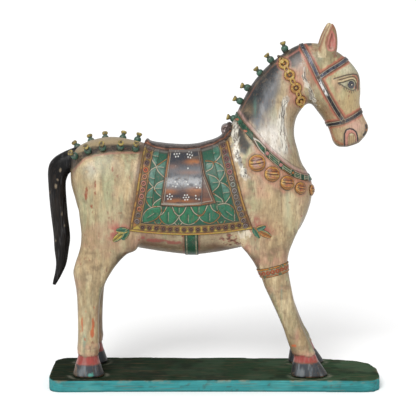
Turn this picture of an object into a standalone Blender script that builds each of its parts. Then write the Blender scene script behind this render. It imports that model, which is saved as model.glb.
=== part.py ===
"""Painted wooden temple horse on its plank: a carved horse with saddle and harness in relief,
a tail let into the rump, and turned pegs along the mane and the croup.

Metres, +Z up. The origin is the middle of the plank's underside. The horse faces +X.
"""

import math

import bmesh
import bpy
import numpy as np
from mathutils import Matrix, Vector
from mathutils.bvhtree import BVHTree

# ---- driving dimensions -------------------------------------------------------------------
SEAT_GAP = 0.0003  # between touching pieces
PLANK_LENGTH = 0.826
PLANK_DEPTH = 0.228
PLANK_THICKNESS = 0.030
STANCE = 0.064  # from the middle plane to the middle of a leg
BARREL_HALF_WIDTH = 0.093
STRAP_RELIEF = 0.0026  # how far the carving stands off the form
LEAF_RELIEF = 0.0038
BORDER_RELIEF = 0.0044
SADDLE_RELIEF = 0.0082
GROOVE_DEPTH = 0.0018
KNOB_LENGTH = 0.0245
KNOB_RADIUS = 0.0088
KNOB_SIDES = 8

FORM_VOXEL = 0.0055  # grain of the blended form before it is thinned out
FORM_TRIANGLES = 2300
FILLET_ROUNDS = 26
HORSE_TRIANGLES = 7400
RING_POINTS = 28
STEPS_PER_SPAN = 4

# ---- outlines of the carved form ----------------------------------------------------------
# A section joins a point of the upper or rear outline to one of the lower or front outline,
# each (x, z), and has a half width across.
TORSO = [
    ((-0.3545, 0.556), (-0.3545, 0.500), 0.030),
    ((-0.350, 0.578), (-0.345, 0.468), 0.054),
    ((-0.336, 0.596), (-0.330, 0.422), 0.074),
    ((-0.300, 0.6125), (-0.300, 0.385), 0.086),
    ((-0.250, 0.6195), (-0.250, 0.360), 0.0895),
    ((-0.200, 0.6110), (-0.200, 0.346), 0.090),
    ((-0.150, 0.6000), (-0.150, 0.3365), 0.0915),
    ((-0.060, 0.5940), (-0.060, 0.3262), BARREL_HALF_WIDTH),
    ((0.010, 0.6100), (0.010, 0.3330), 0.0915),
    ((0.060, 0.6300), (0.070, 0.3450), 0.088),
    ((0.120, 0.6100), (0.130, 0.3520), 0.084),
    ((0.175, 0.5800), (0.175, 0.3620), 0.076),
    ((0.216, 0.5520), (0.207, 0.3850), 0.062),
    ((0.236, 0.5200), (0.226, 0.4200), 0.044),
    ((0.2425, 0.5020), (0.239, 0.4580), 0.022),
]
NECK_AND_HEAD = [
    ((-0.010, 0.560), (0.175, 0.420), 0.060),
    ((0.024, 0.622), (0.226, 0.500), 0.074),
    ((0.0475, 0.664), (0.210, 0.573), 0.066),
    ((0.0690, 0.709), (0.197, 0.622), 0.056),
    ((0.097, 0.757), (0.200, 0.662), 0.050),
    ((0.142, 0.805), (0.215, 0.690), 0.047),
    ((0.205, 0.8455), (0.232, 0.705), 0.047),
    ((0.262, 0.8465), (0.242, 0.698), 0.051),
    ((0.316, 0.8180), (0.252, 0.6845), 0.053),
    ((0.3515, 0.7790), (0.262, 0.6720), 0.050),
    ((0.3580, 0.7380), (0.272, 0.6570), 0.043),
    ((0.3570, 0.7020), (0.280, 0.6430), 0.037),
    ((0.3670, 0.6720), (0.2865, 0.6260), 0.0345),
    ((0.3795, 0.6450), (0.2930, 0.6080), 0.034),
    ((0.3740, 0.6255), (0.3040, 0.5965), 0.029),
    ((0.3580, 0.6060), (0.3240, 0.5945), 0.017),
]
HIND_LEG = [
    ((-0.340, 0.520), (-0.200, 0.500), 0.034, 0.046),
    ((-0.332, 0.430), (-0.180, 0.400), 0.034, 0.052),
    ((-0.3275, 0.385), (-0.190, 0.350), 0.033, 0.057),
    ((-0.3310, 0.350), (-0.216, 0.336), 0.032, 0.060),
    ((-0.3420, 0.316), (-0.243, 0.308), 0.0300, 0.062),
    ((-0.3480, 0.292), (-0.260, 0.282), 0.0285, STANCE),
    ((-0.3440, 0.266), (-0.272, 0.258), 0.0270, STANCE),
    ((-0.3400, 0.235), (-0.281, 0.230), 0.0255, STANCE),
    ((-0.3385, 0.180), (-0.2855, 0.180), 0.0245, STANCE),
    ((-0.3390, 0.120), (-0.2865, 0.120), 0.0250, STANCE),
    ((-0.3410, 0.098), (-0.2850, 0.100), 0.0260, STANCE),
    ((-0.3370, 0.082), (-0.291, 0.082), 0.0235, STANCE),
    ((-0.3360, 0.072), (-0.290, 0.072), 0.0235, STANCE),
]
FORE_LEG = [
    ((0.050, 0.480), (0.220, 0.490), 0.034, 0.040),
    ((0.055, 0.410), (0.215, 0.420), 0.034, 0.048),
    ((0.062, 0.362), (0.196, 0.372), 0.033, 0.054),
    ((0.080, 0.338), (0.184, 0.342), 0.0315, 0.058),
    ((0.098, 0.312), (0.180, 0.316), 0.0295, 0.061),
    ((0.114, 0.280), (0.183, 0.288), 0.0275, STANCE),
    ((0.1255, 0.250), (0.1885, 0.258), 0.0260, STANCE),
    ((0.1465, 0.206), (0.1975, 0.214), 0.0245, STANCE),
    ((0.1670, 0.158), (0.2130, 0.168), 0.0240, STANCE),
    ((0.1795, 0.122), (0.2295, 0.130), 0.0245, STANCE),
    ((0.1900, 0.094), (0.2440, 0.104), 0.0260, STANCE),
    ((0.1990, 0.082), (0.2470, 0.086), 0.0235, STANCE),
    ((0.2000, 0.072), (0.2480, 0.072), 0.0235, STANCE),
]
# (x of the heel, x of the toe, z, half width) from the coronet to the ground
HIND_HOOF = [(-0.3372, -0.2895, 0.088, 0.0235), (-0.3450, -0.2840, 0.0630, 0.0268), (-0.3530, -0.2735, 0.0, 0.0300)]
FORE_HOOF = [(0.2000, 0.2480, 0.092, 0.0235), (0.1945, 0.2595, 0.0665, 0.0270), (0.1895, 0.2840, 0.0, 0.0300)]
TAIL = [
    ((-0.316, 0.6020), (-0.330, 0.545), 0.018),
    ((-0.341, 0.5955), (-0.346, 0.537), 0.023),
    ((-0.372, 0.5830), (-0.3595, 0.5290), 0.024),
    ((-0.400, 0.5655), (-0.3655, 0.519), 0.024),
    ((-0.4125, 0.540), (-0.3690, 0.505), 0.0235),
    ((-0.4125, 0.495), (-0.3690, 0.480), 0.0225),
    ((-0.4085, 0.435), (-0.3655, 0.425), 0.0210),
    ((-0.4020, 0.375), (-0.3605, 0.370), 0.0195),
    ((-0.4005, 0.340), (-0.3645, 0.336), 0.0175),
    ((-0.3970, 0.305), (-0.3710, 0.300), 0.0140),
    ((-0.3995, 0.280), (-0.3820, 0.275), 0.0095),
    ((-0.4040, 0.2610), (-0.3920, 0.257), 0.0055),
    ((-0.4065, 0.2480), (-0.3990, 0.246), 0.0030),
]
# (x from, x to, z, half width, y of its middle) from root to tip
EAR = [
    (0.2520, 0.2910, 0.812, 0.0160, 0.030),
    (0.2515, 0.2965, 0.832, 0.0165, 0.031),
    (0.2560, 0.2980, 0.850, 0.0150, 0.033),
    (0.2620, 0.2970, 0.868, 0.0125, 0.035),
    (0.2690, 0.2940, 0.883, 0.0095, 0.036),
    (0.2745, 0.2895, 0.893, 0.0060, 0.037),
    (0.2795, 0.2840, 0.899, 0.0022, 0.0375),
]

# ---- outlines of the carving, seen from the side, as (x, z) -------------------------------
CLOTH_LEFT = [(-0.1720, 0.640), (-0.1720, 0.600), (-0.1790, 0.5701), (-0.1858, 0.5237), (-0.1932, 0.4754),
              (-0.2010, 0.4380), (-0.2090, 0.3975)]
CLOTH_BOTTOM = [(-0.1702, 0.3929), (-0.1212, 0.3896), (-0.0723, 0.3880), (-0.0235, 0.3891), (0.0253, 0.3929)]
CLOTH_RIGHT = [(0.0936, 0.4021), (0.0812, 0.4374), (0.0688, 0.4750), (0.0565, 0.5238), (0.0445, 0.5711),
               (0.0350, 0.6080), (0.0330, 0.640)]
CLOTH_BORDER = 0.0065
ROSETTE_BAND = 0.0165
SEAT = [(-0.1735, 0.650), (-0.1735, 0.6020), (-0.1610, 0.5975), (-0.1461, 0.5915), (-0.1215, 0.5870),
        (-0.0726, 0.5855), (-0.0358, 0.5890), (0.0010, 0.6000), (0.0279, 0.6150), (0.0405, 0.6270),
        (0.0430, 0.6370), (0.0100, 0.650)]
CANTLE = [(-0.1740, 0.650), (-0.1740, 0.5990), (-0.1600, 0.5960), (-0.1560, 0.650)]
FLAP = [(-0.1080, 0.5880), (-0.1241, 0.4647), (-0.0600, 0.4630), (0.0008, 0.4671), (-0.0419, 0.5880)]
GIRTH = [(-0.0748, 0.400), (-0.0400, 0.400), (-0.0385, 0.300), (-0.0730, 0.300)]
COLLAR = [(0.0360, 0.6960), (0.0547, 0.6652), (0.0690, 0.6430), (0.0858, 0.6200), (0.1099, 0.5868),
          (0.1428, 0.5562), (0.1811, 0.5344), (0.2165, 0.5221), (0.2600, 0.5090)]
CROWN_STRAP = [(0.2060, 0.8700), (0.2130, 0.8440), (0.2307, 0.8111), (0.2510, 0.7700)]
CHEEK_STRAP = [(0.2500, 0.7720), (0.2698, 0.7343), (0.2928, 0.6948), (0.3180, 0.6575)]
BROW_STRAP = [(0.2520, 0.7690), (0.2789, 0.7874), (0.3039, 0.8012), (0.3400, 0.8200)]
NOSE_STRAP = [(0.2700, 0.6490), (0.2853, 0.6538), (0.3015, 0.6572), (0.3184, 0.6623), (0.3380, 0.6718),
              (0.3800, 0.6960)]
MOUTH = [(0.3163, 0.6030), (0.3146, 0.6200), (0.3214, 0.6351), (0.3311, 0.6401), (0.3410, 0.6351),
         (0.3470, 0.6199), (0.3450, 0.6080)]
BROW = [(0.2960, 0.7586), (0.3070, 0.7690), (0.3220, 0.7760), (0.3380, 0.7760), (0.3480, 0.7700)]
STRAP_WIDTH = 0.0095
COLLAR_WIDTH = 0.0145
KNEE_BAND = [(0.0900, 0.2975), (0.2000, 0.3255), (0.2000, 0.2990), (0.0980, 0.2745)]
CORNER_LEAVES = [((-0.1780, 0.4190), (-0.1290, 0.4560), 0.022), ((0.0540, 0.4200), (0.0060, 0.4580), 0.022)]
HANGING_LEAVES = [((x, 0.4560), (x, 0.4160), 0.040) for x in (-0.1075, -0.0625, -0.0175)]
SIDE_LEAVES = [((-0.1260, z + 0.006), (-0.1690 - 0.05 * (0.56 - z), z - 0.012), 0.028) for z in (0.559, 0.528, 0.497)]
SIDE_LEAVES += [((-0.0060 + 0.12 * (0.56 - z), z + 0.006), (0.0290 + 0.22 * (0.56 - z), z - 0.012), 0.028)
                for z in (0.559, 0.528, 0.497)]
TASSEL_LEAVES = [((-0.2080, 0.3975), (-0.2430, 0.4040), 0.012), ((-0.2080, 0.3950), (-0.2450, 0.3840), 0.013),
                 ((-0.2090, 0.3930), (-0.2300, 0.3740), 0.012), ((0.0960, 0.4010), (0.1180, 0.4110), 0.012),
                 ((0.0990, 0.3985), (0.1370, 0.3850), 0.013), ((0.0960, 0.3960), (0.1110, 0.3780), 0.012)]
BELLS = [(0.1027, 0.5638, 0.0203), (0.1392, 0.5370, 0.0183), (0.1761, 0.5143, 0.0170), (0.2090, 0.5000, 0.0142)]
FRONT_BELLS = [(0.030, 0.4905, 0.0135), (0.0, 0.4870, 0.0135), (-0.030, 0.4905, 0.0135)]  # y, z, radius
CHAIN = [(0.1683, 0.8010), (0.1813, 0.7750), (0.1973, 0.7436), (0.2094, 0.7120)]
EYE = (0.3309, 0.7530)
# (x, z, lean in degrees up from +X) of each ball on the crest, from the withers up
MANE_KNOBS = [(0.0464, 0.6650, 165), (0.0617, 0.7085, 155), (0.0800, 0.7412, 160), (0.1110, 0.7775, 134),
              (0.1365, 0.8098, 130), (0.1715, 0.8370, 109)]
CROUP_KNOBS = [(-0.3380, 0.5750), (-0.3070, 0.5885), (-0.2725, 0.5950), (-0.2303, 0.5965), (-0.1939, 0.5925)]
FAR_ROW_RISE = 0.010


def clear_scene():
    for old in list(bpy.data.objects):
        bpy.data.objects.remove(old)


def new_object(name, bm):
    mesh = bpy.data.meshes.new(name)
    bmesh.ops.recalc_face_normals(bm, faces=bm.faces)
    bm.to_mesh(mesh)
    bm.free()
    made = bpy.data.objects.new(name, mesh)
    bpy.context.scene.collection.objects.link(made)
    return made


def smooth_rows(rows, steps):
    """Rows of numbers joined by a Catmull-Rom curve, with this many steps to a span."""
    rows = np.array(rows, float)
    padded = np.vstack([2 * rows[0] - rows[1], rows, 2 * rows[-1] - rows[-2]])
    made = []
    for a, b, c, d in zip(padded, padded[1:], padded[2:], padded[3:]):
        for t in np.arange(steps) / steps:
            made.append(0.5 * (2 * b + (c - a) * t + (2 * a - 5 * b + 4 * c - d) * t**2
                               + (3 * b - a - 3 * c + d) * t**3))
    return np.array(made + [rows[-1]])


def add_rings(bm, rings):
    """Skins closed rings of points, one after another, and closes both ends."""
    made = [[bm.verts.new(p) for p in ring] for ring in rings]
    count = len(made[0])
    for lower, upper in zip(made, made[1:]):
        for i in range(count):
            j = (i + 1) % count
            bm.faces.new((lower[i], lower[j], upper[j], upper[i]))
    bm.faces.new(made[0])
    bm.faces.new(made[-1])


def section_ring(upper, lower, half_width, middle_y, points=RING_POINTS, roundness=2.2):
    """A rounded section between two outline points, as a superellipse."""
    upper, lower = np.array(upper), np.array(lower)
    middle, reach = (upper + lower) / 2, (upper - lower) / 2
    ring = []
    for i in range(points):
        turn = 2 * math.pi * i / points
        up, across = (math.copysign(abs(f(turn)) ** (2 / roundness), f(turn)) for f in (math.cos, math.sin))
        x, z = middle + reach * up
        ring.append((x, middle_y + half_width * across, z))
    return ring


def loft(bm, sections, side=0):
    """Adds a body through the sections. side is -1 or 1 for one of a pair."""
    flat = [(*s[0], *s[1], s[2], side * s[3] if side else 0.0) for s in sections]
    rows = smooth_rows(flat, STEPS_PER_SPAN)
    add_rings(bm, [section_ring(r[:2], r[2:4], r[4], r[5]) for r in rows])


def hoof(bm, rows, side):
    rows = [(heel, toe, z + PLANK_THICKNESS + SEAT_GAP if z == 0 else z, half) for heel, toe, z, half in rows]
    add_rings(bm, [section_ring((heel, z), (toe, z), half, side * STANCE) for heel, toe, z, half in rows])


def applied(made):
    """Bakes an object's modifiers into its mesh."""
    graph = bpy.context.evaluated_depsgraph_get()
    mesh = bpy.data.meshes.new_from_object(made.evaluated_get(graph))
    made.modifiers.clear()
    made.data = mesh
    return made


def fused(made, voxel):
    fuse = made.modifiers.new("Fuse", "REMESH")
    fuse.mode = "VOXEL"
    fuse.voxel_size = voxel
    fuse.adaptivity = 0.0
    return applied(made)


def fill_hollows(mesh, rounds):
    """Raises hollow creases a little at a time, as filler would, and leaves rounded parts as they are."""
    count = len(mesh.vertices)
    points = np.empty(count * 3)
    mesh.vertices.foreach_get("co", points)
    points = points.reshape(-1, 3)
    edges = np.empty(len(mesh.edges) * 2, int)
    mesh.edges.foreach_get("vertices", edges)
    edges = edges.reshape(-1, 2)
    normals = np.empty(count * 3)
    degree = np.bincount(edges.ravel(), minlength=count)[:, None]
    for turn in range(rounds):
        total = np.zeros((count, 3))
        np.add.at(total, edges[:, 0], points[edges[:, 1]])
        np.add.at(total, edges[:, 1], points[edges[:, 0]])
        pull = total / degree - points
        mesh.vertices.foreach_get("normal", normals)
        outward = normals.reshape(-1, 3)
        lift = np.einsum("ij,ij->i", pull, outward)
        side = pull - outward * lift[:, None]
        points += outward * np.maximum(lift, 0)[:, None] * 0.6 + side * 0.3
        mesh.vertices.foreach_set("co", points.ravel())
        mesh.update()


def tidy_seams(made):
    """Closes up the slivers that cutting leaves, and makes every face a triangle."""
    bm = bmesh.new()
    bm.from_mesh(made.data)
    bmesh.ops.remove_doubles(bm, verts=bm.verts, dist=0.0001)
    bmesh.ops.triangulate(bm, faces=bm.faces)
    bm.to_mesh(made.data)
    bm.free()


def thinned(made, triangles):
    made.data.calc_loop_triangles()
    thin = made.modifiers.new("Thin", "DECIMATE")
    thin.ratio = triangles / len(made.data.loop_triangles)
    return applied(made)


def carve_form():
    bm = bmesh.new()
    loft(bm, TORSO)
    loft(bm, NECK_AND_HEAD)
    for side in (-1, 1):
        loft(bm, HIND_LEG, side)
        loft(bm, FORE_LEG, side)
        hoof(bm, HIND_HOOF, side)
        hoof(bm, FORE_HOOF, side)
    form = fused(new_object("form", bm), FORM_VOXEL)
    fill_hollows(form.data, FILLET_ROUNDS)
    return thinned(form, FORM_TRIANGLES)


def surface_of(made):
    return BVHTree.FromObject(made, bpy.context.evaluated_depsgraph_get())


def seat_on(surface, start, towards):
    """The place on the surface met from outside, turned so that its Z stands off the surface."""
    spot, normal, face, reach = surface.ray_cast(Vector(start), Vector(towards))
    return Matrix.Translation(spot) @ normal.to_track_quat("Z", "Y").to_matrix().to_4x4()


def flank_seat(surface, x, z, side):
    return seat_on(surface, (x, side * 0.5, z), (0, -side, 0))


def grown(made, height, name):
    """A copy whose surface stands this far off the first one."""
    copy = bpy.data.objects.new(name, made.data.copy())
    copy.matrix_world = made.matrix_world
    bpy.context.scene.collection.objects.link(copy)
    for vertex in copy.data.vertices:
        vertex.co += vertex.normal * height
    return copy


def combine(target, other, operation, overlapping=False):
    change = target.modifiers.new(operation.title(), "BOOLEAN")
    change.operation = operation
    change.object = other
    change.solver = "EXACT"
    change.use_self = overlapping
    applied(target)
    bpy.data.objects.remove(other)
    return target


def offset_line(points, distance):
    """An open line moved sideways, to its left where the distance is positive, with mitred corners."""
    points = np.array(points)
    steps = np.diff(points, axis=0)
    steps /= np.linalg.norm(steps, axis=1)[:, None]
    left = np.stack([-steps[:, 1], steps[:, 0]], axis=1)
    before, after = np.vstack([left[:1], left]), np.vstack([left, left[-1:]])
    reach = distance / (1 + np.einsum("ij,ij->i", before, after))
    return points + (before + after) * reach[:, None]


def ribbon(points, width, steps=3):
    """The outline of a strip that follows a smooth line."""
    line = smooth_rows(points, steps)
    return list(offset_line(line, width / 2)) + list(offset_line(line, -width / 2))[::-1]


def leaf(base, tip, width, points=5):
    """A pointed oval from base to tip."""
    base, tip = np.array(base), np.array(tip)
    along = tip - base
    across = np.array([-along[1], along[0]]) / np.linalg.norm(along) * width / 2
    turns = [math.pi * i / points for i in range(1, points)]
    one = [base + along * (1 - math.cos(t)) / 2 + across * math.sin(t) ** 1.3 for t in turns]
    two = [base + along * (1 - math.cos(t)) / 2 - across * math.sin(t) ** 1.3 for t in turns]
    return [base] + one + [tip] + two[::-1]


def scale_leaf(base, tip, width, points=4):
    """A scale: full width at its root, arched to a point at its tip."""
    base, tip = np.array(base), np.array(tip)
    along = tip - base
    across = np.array([-along[1], along[0]]) / np.linalg.norm(along) * width / 2
    parts = [i / points for i in range(points)]
    one = [base + along * t + across * math.sqrt(1 - t**2.2) for t in parts]
    two = [base + along * t - across * math.sqrt(1 - t**2.2) for t in parts]
    return one + [tip] + two[::-1]


def side_prisms(name, outlines, half_length=0.3):
    """Solids that run right across the object behind each outline."""
    bm = bmesh.new()
    for outline in outlines:
        near = [bm.verts.new((x, -half_length, z)) for x, z in outline]
        far = [bm.verts.new((x, half_length, z)) for x, z in outline]
        bm.faces.new(near)
        bm.faces.new(far[::-1])
        for i in range(len(near)):
            j = (i + 1) % len(near)
            bm.faces.new((near[i], far[i], far[j], near[j]))
    return new_object(name, bm)


def raise_carving(target, form, outlines, height, name, overlapping=False):
    """Raises what lies behind the outlines to one height above the form, all round it."""
    layer = combine(grown(form, height, name), side_prisms(name + "_outline", outlines), "INTERSECT", overlapping)
    return combine(target, layer, "UNION")


def cut_grooves(target, form, outlines, depth):
    grooves = side_prisms("grooves", outlines)
    combine(grooves, grown(form, -depth, "groove_floor"), "DIFFERENCE")
    return combine(target, grooves, "DIFFERENCE")


def turned(bm, profile, sides, place):
    """Turns (radius, height) rows about the place's Z. A radius of 0 closes the form at a point."""
    rows = []
    for radius, height in profile:
        count = sides if radius else 1
        turns = [2 * math.pi * i / sides for i in range(count)]
        rows.append([bm.verts.new(place @ Vector((radius * math.cos(t), radius * math.sin(t), height))) for t in turns])
    for lower, upper in zip(rows, rows[1:]):
        for i in range(sides):
            j = (i + 1) % sides
            ring = [lower[i % len(lower)], lower[j % len(lower)], upper[j % len(upper)], upper[i % len(upper)]]
            bm.faces.new(list(dict.fromkeys(ring)))
    for end in (rows[0], rows[-1]):
        if len(end) > 1:
            bm.faces.new(end)


def link_ring(bm, place, radius, thickness, sides=10, around=5):
    rows = []
    for i in range(sides):
        turn = Matrix.Rotation(2 * math.pi * i / sides, 4, "Z")
        row = []
        for j in range(around):
            t = 2 * math.pi * (j + 0.5) / around
            point = Vector((radius + thickness * math.cos(t), 0, thickness * 1.2 * math.sin(t)))
            row.append(bm.verts.new(place @ turn @ point))
        rows.append(row)
    for i in range(sides):
        here, following = rows[i], rows[(i + 1) % sides]
        for j in range(around):
            k = (j + 1) % around
            bm.faces.new((here[j], here[k], following[k], following[j]))


def dome(radius, height, rows=3, below=0.35):
    """The profile of a boss that stands a height off its seat."""
    turns = [math.pi / 2 * i / rows for i in range(rows)]
    return [(radius * 0.8, -radius * below)] + [(radius * math.cos(t), height * math.sin(t)) for t in turns] + [(0, height)]


def carve_bosses(surface):
    """Bells, chain links and eyes, on both sides."""
    bm = bmesh.new()
    for side in (-1, 1):
        for x, z, radius in BELLS:
            turned(bm, dome(radius, radius * 0.5), 12, flank_seat(surface, x, z, side))
        for x, z in CHAIN:
            link_ring(bm, flank_seat(surface, x, z, side), 0.0092, 0.0030)
        turned(bm, dome(0.0105, 0.0034, 2), 10, flank_seat(surface, *EYE, side))
    for y, z, radius in FRONT_BELLS:
        turned(bm, dome(radius, radius * 0.5), 10, seat_on(surface, (0.5, y, z), (-1, 0, 0)))
    return new_object("bosses", bm)


def pommel():
    bm = bmesh.new()
    place = Matrix.Translation((0.0292, 0, 0.6385)) @ Matrix.Rotation(math.pi / 2, 4, "X")
    turned(bm, [(0.0085, -0.022), (0.0128, -0.0185), (0.0134, 0), (0.0128, 0.0185), (0.0085, 0.022)], 12, place)
    return new_object("pommel", bm)


def ear(side):
    bm = bmesh.new()
    add_rings(bm, [section_ring((a, z), (b, z), half, side * y, 10, 2.0) for a, b, z, half, y in EAR])
    made = new_object("ear", bm)
    hollow = bmesh.new()
    bmesh.ops.create_uvsphere(hollow, u_segments=10, v_segments=8, radius=1.0)
    bmesh.ops.scale(hollow, vec=(0.0115, 0.0085, 0.0320), verts=hollow.verts)
    bmesh.ops.translate(hollow, vec=(0.2815, side * 0.0500, 0.8535), verts=hollow.verts)
    return combine(made, new_object("hollow", hollow), "DIFFERENCE")


def cloth_outline():
    return CLOTH_LEFT + CLOTH_BOTTOM + CLOTH_RIGHT


def edge_strip(outer, inner):
    """A strip along the cloth's open edge, between two distances in from it."""
    edge = cloth_outline()[1:-1]
    return list(offset_line(edge, outer)) + list(offset_line(edge, inner))[::-1]


def carve_horse():
    form = carve_form()
    surface = surface_of(form)
    horse = grown(form, 0, "horse")
    for side in (-1, 1):
        combine(horse, ear(side), "UNION")
    straps = [ribbon(line, STRAP_WIDTH) for line in (CROWN_STRAP, CHEEK_STRAP, BROW_STRAP, NOSE_STRAP)]
    straps += [ribbon(COLLAR, COLLAR_WIDTH), ribbon(BROW, 0.0035), GIRTH, KNEE_BAND, cloth_outline()]
    straps += [leaf(*row) for row in TASSEL_LEAVES]
    raise_carving(horse, form, straps, STRAP_RELIEF, "straps", True)
    leaves = [leaf(*row) for row in CORNER_LEAVES]
    leaves += [scale_leaf(*row) for row in HANGING_LEAVES + SIDE_LEAVES]
    raise_carving(horse, form, leaves, LEAF_RELIEF, "leaves", True)
    inner = CLOTH_BORDER + ROSETTE_BAND
    trim = [edge_strip(0.0005, CLOTH_BORDER), edge_strip(inner, inner + 0.004), FLAP]
    raise_carving(horse, form, trim, BORDER_RELIEF, "trim")
    raise_carving(horse, form, [SEAT], SADDLE_RELIEF, "seat")
    raise_carving(horse, form, [CANTLE], SADDLE_RELIEF + 0.005, "cantle")
    cut_grooves(horse, form, [ribbon(MOUTH, 0.0045)], GROOVE_DEPTH)
    combine(horse, pommel(), "UNION")
    combine(horse, carve_bosses(surface), "UNION")
    bpy.data.objects.remove(form)
    tidy_seams(horse)
    return thinned(horse, HORSE_TRIANGLES), surface


def knob(name, seat):
    """A turned peg: a ball, a neck and a flared cap. Its foot runs a little below its seat."""
    bm = bmesh.new()
    r, length = KNOB_RADIUS, KNOB_LENGTH
    profile = [(r * 0.7, -0.005), (r * 0.97, 0.15 * length), (r, 0.38 * length), (r * 0.52, 0.62 * length),
               (r * 0.80, 0.86 * length), (r * 0.74, length), (0, 0.96 * length)]
    turned(bm, profile, KNOB_SIDES, Matrix.Identity(4))
    made = new_object(name, bm)
    made.matrix_world = seat
    return made


def mane_seat(x, z, lean):
    """A seat that puts the ball on the crest, with the knob leaning in the middle plane."""
    turn = Matrix.Rotation(math.radians(90 - lean), 4, "Y")
    return Matrix.Translation((x, 0, z)) @ turn @ Matrix.Translation((0, 0, -0.30 * KNOB_LENGTH))


def make_knobs(surface):
    made = [knob(f"mane_knob_{i + 1}", mane_seat(*row)) for i, row in enumerate(MANE_KNOBS)]
    for word, side, rise in (("near", -1, 0), ("far", 1, FAR_ROW_RISE)):
        for i, (x, z) in enumerate(CROUP_KNOBS):
            made.append(knob(f"croup_knob_{word}_{i + 1}", flank_seat(surface, x, z + rise, side)))
    return made


def make_tail():
    bm = bmesh.new()
    rows = [(a, b, half) for a, b, half in TAIL]
    add_rings(bm, [section_ring(a, b, half, 0, 12) for a, b, half in rows])
    return new_object("tail", bm)


def plank_outline():
    """Seen from above: front edge a little hollow, back edge falling in towards the head end."""
    half, front = PLANK_LENGTH / 2, -PLANK_DEPTH / 2
    outline = [(-half, -0.060), (-half + 0.004, front + 0.022), (-half + 0.014, front + 0.007), (-half + 0.032, front)]
    outline += [(x, front + 0.006 * (1 - (x / 0.39) ** 2)) for x in np.linspace(-0.30, 0.36, 12)]
    outline += [(half - 0.022, front + 0.004), (half - 0.004, front + 0.026), (half, -0.050), (half - 0.002, 0.010)]
    outline += [(half - 0.016, 0.052), (half - 0.042, 0.074), (0.330, 0.088), (0.285, 0.0965), (0.240, 0.1015)]
    outline += [(0.150, 0.106), (0.0, 0.109), (-0.150, 0.1110), (-0.250, 0.1125), (-0.340, 0.114)]
    outline += [(-half + 0.028, 0.1125), (-half + 0.010, 0.103), (-half + 0.002, 0.082), (-half, 0.050)]
    return outline


def make_plinth():
    bm = bmesh.new()
    foot = bm.faces.new([bm.verts.new((x, y, 0)) for x, y in plank_outline()])
    top = bmesh.ops.extrude_face_region(bm, geom=[foot])
    lifted = [item for item in top["geom"] if isinstance(item, bmesh.types.BMVert)]
    bmesh.ops.translate(bm, vec=(0, 0, PLANK_THICKNESS), verts=lifted)
    made = new_object("plinth", bm)
    soften = made.modifiers.new("Soften", "BEVEL")
    soften.width = 0.0014
    soften.segments = 1
    soften.limit_method = "ANGLE"
    soften.angle_limit = math.radians(60)
    return applied(made)


def paint(made, name, colour, roughness):
    material = bpy.data.materials.new(name)
    material.use_nodes = True
    shader = material.node_tree.nodes["Principled BSDF"]
    shader.inputs["Base Color"].default_value = (*colour, 1)
    shader.inputs["Roughness"].default_value = roughness
    shader.inputs["Metallic"].default_value = 0.0
    made.data.materials.clear()
    made.data.materials.append(material)


def bed_pieces(pieces, horse):
    """Trims the feet of the pieces to the horse in one cut, and gives each its own part back."""
    bm = bmesh.new()
    for piece in pieces:
        copy = piece.data.copy()
        copy.transform(piece.matrix_world)
        bm.from_mesh(copy)
    together = combine(new_object("together", bm), grown(horse, SEAT_GAP * 1.2, "bed"), "DIFFERENCE")
    bm = bmesh.new()
    bm.from_mesh(together.data)
    bpy.data.objects.remove(together)
    loose = set(bm.verts)
    while loose:
        island, fresh = set(), {loose.pop()}
        while fresh:
            island |= fresh
            fresh = {edge.other_vert(vertex) for vertex in fresh for edge in vertex.link_edges} - island
        loose -= island
        middle = sum((vertex.co for vertex in island), Vector()) / len(island)
        owner = min(pieces, key=lambda piece: min((piece.matrix_world @ vertex.co - middle).length
                                                  for vertex in piece.data.vertices))
        part = bmesh.new()
        match = {vertex: part.verts.new(owner.matrix_world.inverted() @ vertex.co) for vertex in island}
        for face in {face for vertex in island for face in vertex.link_faces}:
            part.faces.new([match[vertex] for vertex in face.verts])
        mesh = bpy.data.meshes.new(owner.name)
        part.to_mesh(mesh)
        part.free()
        owner["bedded"] = mesh.name
    for piece in pieces:
        piece.data = bpy.data.meshes[piece.pop("bedded")]
    bm.free()


clear_scene()
horse, surface = carve_horse()
tail = make_tail()
knobs = make_knobs(surface)
bed_pieces([tail] + knobs, horse)
plinth = make_plinth()
paint(horse, "aged_cream_paint", (0.52, 0.44, 0.28), 0.5)
paint(tail, "black_paint", (0.012, 0.012, 0.012), 0.35)
paint(plinth, "green_paint", (0.012, 0.06, 0.04), 0.5)
for piece in knobs:
    paint(piece, piece.name + "_green", (0.02, 0.11, 0.06), 0.4)
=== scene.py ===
import math
import bmesh
import bpy
import numpy as np
from mathutils import Matrix, Vector
from mathutils.bvhtree import BVHTree


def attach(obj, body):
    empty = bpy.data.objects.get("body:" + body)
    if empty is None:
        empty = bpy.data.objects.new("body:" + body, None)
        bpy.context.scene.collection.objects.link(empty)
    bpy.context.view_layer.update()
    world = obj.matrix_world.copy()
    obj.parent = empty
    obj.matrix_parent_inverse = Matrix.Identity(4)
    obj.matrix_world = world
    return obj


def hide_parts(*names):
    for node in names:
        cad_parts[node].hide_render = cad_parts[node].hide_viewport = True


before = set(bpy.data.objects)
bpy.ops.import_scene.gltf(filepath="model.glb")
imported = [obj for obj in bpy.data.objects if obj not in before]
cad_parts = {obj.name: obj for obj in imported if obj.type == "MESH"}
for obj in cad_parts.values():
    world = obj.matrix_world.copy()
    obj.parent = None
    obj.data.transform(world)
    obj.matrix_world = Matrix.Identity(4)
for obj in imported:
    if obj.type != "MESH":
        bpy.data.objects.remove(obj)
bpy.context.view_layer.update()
scene = bpy.context.scene
print("frame loaded:", len(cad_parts), "carved parts")

flanks = (("near", -1), ("far", 1))  # name and side of Y

# small helpers

latticeRng = np.random.default_rng(11)
lattice = latticeRng.random((32, 32, 32))


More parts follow.
